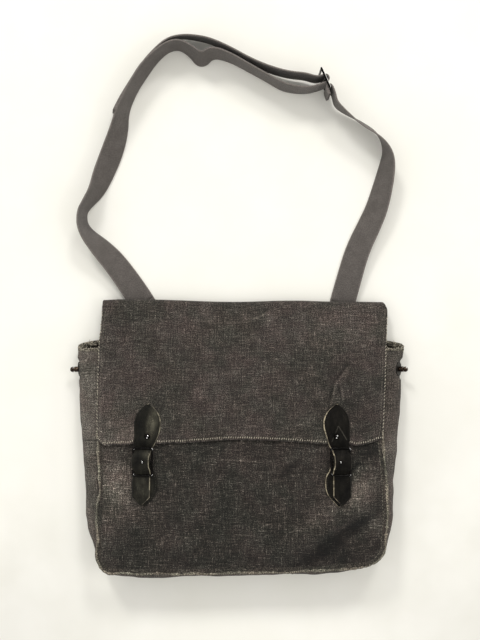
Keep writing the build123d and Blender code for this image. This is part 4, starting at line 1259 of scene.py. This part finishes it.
def pull_tab(side):
    """The strap over the buckle and its teardrop on the flap: one leather with a hole for the stud."""
    m = MIRROR[side]
    s, half = half_outline(TAB_HALF)
    spine = np.interp(s, *zip(*TAB_SPINE[side]))

    def rise(x, ss, share, half_there):
        """A hump over the buckle that settles on the flap with a crown, a pressed edge and creases."""
        free = np.interp(ss, *zip(*STRAP_RISE))
        on_hem = closure_place(side, x, HEM_S + 2.5 * np.logaddexp(0, (ss - HEM_S) / 2.5), free)
        steps = (0.0, 3.0, 6.5)
        flap_at = sum(flap_top(on_hem + np.array([0.0, d * MM, 0.0])) for d in steps) / len(steps) + 0.0013
        on_flap = smooth((ss - 18.5) / (HEM_S - 3.0 - 18.5))
        crown = 1.5 * (1 - share**2) + 0.25
        from_edge = (1 - np.abs(share)) * half_there
        pressed = -0.38 * np.exp(-((from_edge - 2.3) / 0.65) ** 2) * (ss > 24) * (ss < 71)
        away = np.hypot(x - m * STUD_X, ss - STUD_S)
        dimple = -1.1 * np.exp(-((away / 6.0) ** 2))
        creases = sum(ridge(x, ss, *crease) for crease in CREASES[side])
        lies = on_hem.copy()
        lies[..., 2] = flap_at + (crown + pressed + dimple + creases + 0.25) * MM
        lies[..., 1] = closure_place(side, x, ss, 0 * x + 6.0)[..., 1]
        bowed = 0.35 * (1 - share**2) * (1 - on_flap)
        strap_part = closure_place(side, x, ss, free + bowed)
        return strap_part * (1 - on_flap[..., None]) + lies * on_flap[..., None]

    name = f"pull_tab_leather_{side}"
    made = leather_sheet(name, side, s, half, spine, rise, pale=2 if side == "right" else 1)
    # faces along the sharp creases get the painted crease highlight
    sharp = [(a, b) for a, b, _, high in CREASES[side] if high > 0.5]
    for face in made.data.polygons:
        u, v = made.data.uv_layers["cloth"].data[face.loop_start].uv
        spot = ((u - HIDE_U[side]) / MM, v / MM)
        if face.material_index == 0 and any(line_distance(spot, a, b) < 0.42 for a, b in sharp):
            face.material_index = 3
    punched(made, closure_place(side, m * STUD_X, STUD_S, 6.0), 0.0024)
    bends(made)
    belongs(made, None, "leather", f"pull_tab_{side}", f"strap_loop_{side}")


def applied(obj, kind, **settings):
    """Add one modifier to an object and apply it."""
    modifier = obj.modifiers.new("work", kind)
    for key, value in settings.items():
        setattr(modifier, key, value)
    bpy.context.view_layer.update()
    mesh = bpy.data.meshes.new_from_object(obj.evaluated_get(bpy.context.evaluated_depsgraph_get()))
    obj.modifiers.clear()
    obj.data = mesh


def strap_tail(side):
    """The pointed free end of the strap, lying on the base tab and the front."""
    s, half = half_outline(TAIL_HALF, rounded=False)

    def rise(x, ss, share, _):
        """Level over the base tab, following the soft front below."""
        n = np.interp(-ss, (16.7, 20.0, 26.0, 57.0), (3.25, 3.15, 3.05, 3.05)) + 0.30 * (1 - share**2)
        place = closure_place(side, x, ss, n)
        place[..., 2] += front_relief(place[..., 0], place[..., 1]) * smooth((-ss - 18) / 8)
        return place

    made = leather_sheet(f"strap_tail_leather_{side}", side, s, half, -2.0, rise)
    bends(made)
    belongs(made, None, "leather", f"strap_tip_{side}")


def base(side):
    """The teardrop sewn to the front, with its stitches."""
    m = MIRROR[side]
    s, half = half_outline(BASE_HALF)

    def rise(x, ss, share, _):
        """On the front panel, slightly crowned."""
        place = closure_place(side, x, ss, 0 * x + 1.0)
        place[..., 2] = front_top(place) + (0.85 + 0.12 * (1 - share**2)) * MM
        return place

    pale = 0 if side == "left" else 1
    made = leather_sheet(f"base_leather_{side}", side, s, half, BASE_SPINE, rise, BASE_THICK, pale)
    belongs(made, "sack", "leather", f"base_tab_{side}")
    wide = half > SEAM_IN + 0.2
    s, half = s[wide], half[wide]
    right, left = [BASE_SPINE * m + way * (half - SEAM_IN) for way in (1, -1)]
    line = closure_place(side, np.concatenate([right, left[::-1]]), np.concatenate([s, s[::-1]]), 0.0)
    line[:, 2] = front_top(line) + 0.00165
    runs = run_along(line, pitch=0.0032, length=0.0022)
    threads(f"base_threads_{side}", runs, 0.00028, DARK_THREAD, "sack", "leather", 0.3 * MM)


for side in MIRROR:
    pull_tab(side)
    strap_tail(side)
    base(side)

# ---- strap ends sewn on the back ----------------------------------------------
for side, ((ax, ay), (bx, by)) in zip(("left", "right"), STRAP_ENDS):
    ahead = unit(np.array([bx - ax, by - ay, 0.0]))
    across = np.cross(ahead, UP)
    line = np.array([ax, ay, WEB_THICK / 2 + 0.0001]) + ahead * np.linspace(-SEWN, 0.0005, 60)[:, None]
    sides, ups = [np.tile(way, (len(line), 1)) for way in (across, UP)]
    made = sweep(f"strap_end_webbing_{side}", line, sides, ups, WEB_RING, [WEBBING])
    belongs(made, "sack", "webbing", f"strap_end_{side}")
    corners = [np.array([ax, ay, 0.0]) + ahead * d * MM + across * w * MM for d, w in
               ((-72, -14), (-72, 14), (-14, 14), (-14, -14), (-72, -14), (-14, 14), (-14, -14), (-72, 14))]
    runs = []
    for a, b in zip(corners, corners[1:]):
        leg = np.linspace(a, b, 12) + np.array([0, 0, 0.00025])
        runs += run_along(leg, pitch=0.0034, length=0.0024, inset=0.1 * MM, out=-UP)
    threads(f"strap_end_threads_{side}", runs, 0.0003, DARK_THREAD, "sack", "webbing", 0.12 * MM)

# ---- CAD pieces that keep their own shape --------------------------------------
FINISHES = {
    "chape": LEATHER, "buckle": BLACK_METAL, "buckle_post": POST_METAL, "flap_stud": STUD_METAL,
    "flap_stud_screw": STEEL, "gusset_stud": COPPERY, "gusset_washer": DULL_METAL, "gusset_screw": STEEL,
    "strap_slider": BLACK_METAL,
}
for name, piece in nodes.items():
    kind = name.removesuffix("_left").removesuffix("_right")
    if kind in FINISHES:
        piece.data.materials.clear()
        piece.data.materials.append(FINISHES[kind])

# ---- floor, light, world -----------------------------------------------------
FLOOR_SIZE, FLOOR_TOP, FLOOR_THICK = 3.4, -0.0009, 0.002


def floor():
    """The pale cloth the sack lies on."""
    s = np.linspace(-FLOOR_SIZE / 2, FLOOR_SIZE / 2, 90)
    x, y = np.meshgrid(s, s + VIEW_CENTRE_Y)
    mid = np.stack([x, y, np.full_like(x, FLOOR_TOP - FLOOR_THICK / 2)], -1)
    slab("floor", mid, mid[..., :2], FLOOR_THICK, [floor_cloth()])


# painted shade (gain below 0) and painted light (gain above 0) on the floor, patches as in the canvas tables
FLOOR_SHADES = (
    (-0.34, -0.3, 0.26, 0.22, 0, -0.13), (0.36, -0.3, 0.28, 0.24, 0, -0.13),
    (0.3, 0.02, 0.1, 0.2, 0, -0.05), (-0.228, -0.03, 0.034, 0.17, 0, 0.1),
    (-0.188, -0.204, 0.036, 0.024, 0, 0.1),
)


def floor_cloth():
    """Warm white cloth with painted shade towards the lower corners and right of the sack, and painted light
    that lifts the sack's shadow along its left side and under its lower left corner.
    """
    s = Shader("floor_cloth", Roughness=0.9, Specular_IOR_Level=0.1)
    spot = s.add("TexCoord", 3)
    soft = s.noise(spot, 9.0, 3.0)
    colour = s.mix(s.ramp(soft, 0.3, 0.7), (0.862, 0.848, 0.782), (0.882, 0.868, 0.812))
    colour = s.shaded(colour, s.patches(1.0, spot, soft, FLOOR_SHADES))
    return s.finish(colour, s.bump(s.noise(spot, 900.0, 2.0), 0.0003, 0.25))


floor()


def sky(low, high, strength):
    """A bright room round the sides, darker straight above."""
    made = bpy.data.worlds.new("world")
    made.use_nodes = True
    tree = made.node_tree
    back = tree.nodes["Background"]
    spot = tree.nodes.new("ShaderNodeTexCoord")
    parts = tree.nodes.new("ShaderNodeSeparateXYZ")
    share = tree.nodes.new("ShaderNodeMapRange")
    colour = tree.nodes.new("ShaderNodeMix")
    share.interpolation_type = "SMOOTHSTEP"
    colour.data_type = "RGBA"
    for socket, value in ((1, 0.45), (2, 0.97)):
        share.inputs[socket].default_value = value
    for socket, value in ((6, low), (7, high)):
        colour.inputs[socket].default_value = (*value, 1)
    tree.links.new(spot.outputs["Generated"], parts.inputs[0])
    tree.links.new(parts.outputs[2], share.inputs[0])
    tree.links.new(share.outputs[0], colour.inputs[0])
    tree.links.new(colour.outputs[2], back.inputs["Color"])
    back.inputs["Strength"].default_value = strength
    return made


bpy.context.scene.world = sky((1.0, 0.99, 0.965), (0.9, 0.891, 0.868), 0.90)


def soft_light(name, place, size, power, colour=(1.0, 0.99, 0.965)):
    """A round lamp aimed at the sack."""
    data = bpy.data.lights.new(name, "AREA")
    data.shape = "DISK"
    data.size = size
    data.energy = power
    data.color = colour
    lamp = bpy.data.objects.new(name, data)
    lamp.location = place
    lamp.rotation_euler = (Vector((0.0, 0.1, 0.0)) - Vector(place)).to_track_quat("-Z", "Y").to_euler()
    bpy.context.scene.collection.objects.link(lamp)


soft_light("window_left", (-1.45, 3.5, 2.75), 0.95, 66.0)
soft_light("window_right", (1.15, 3.6, 2.75), 0.95, 49.0)
soft_light("side_lamp", (1.9, -0.3, 2.2), 0.55, 5.0)
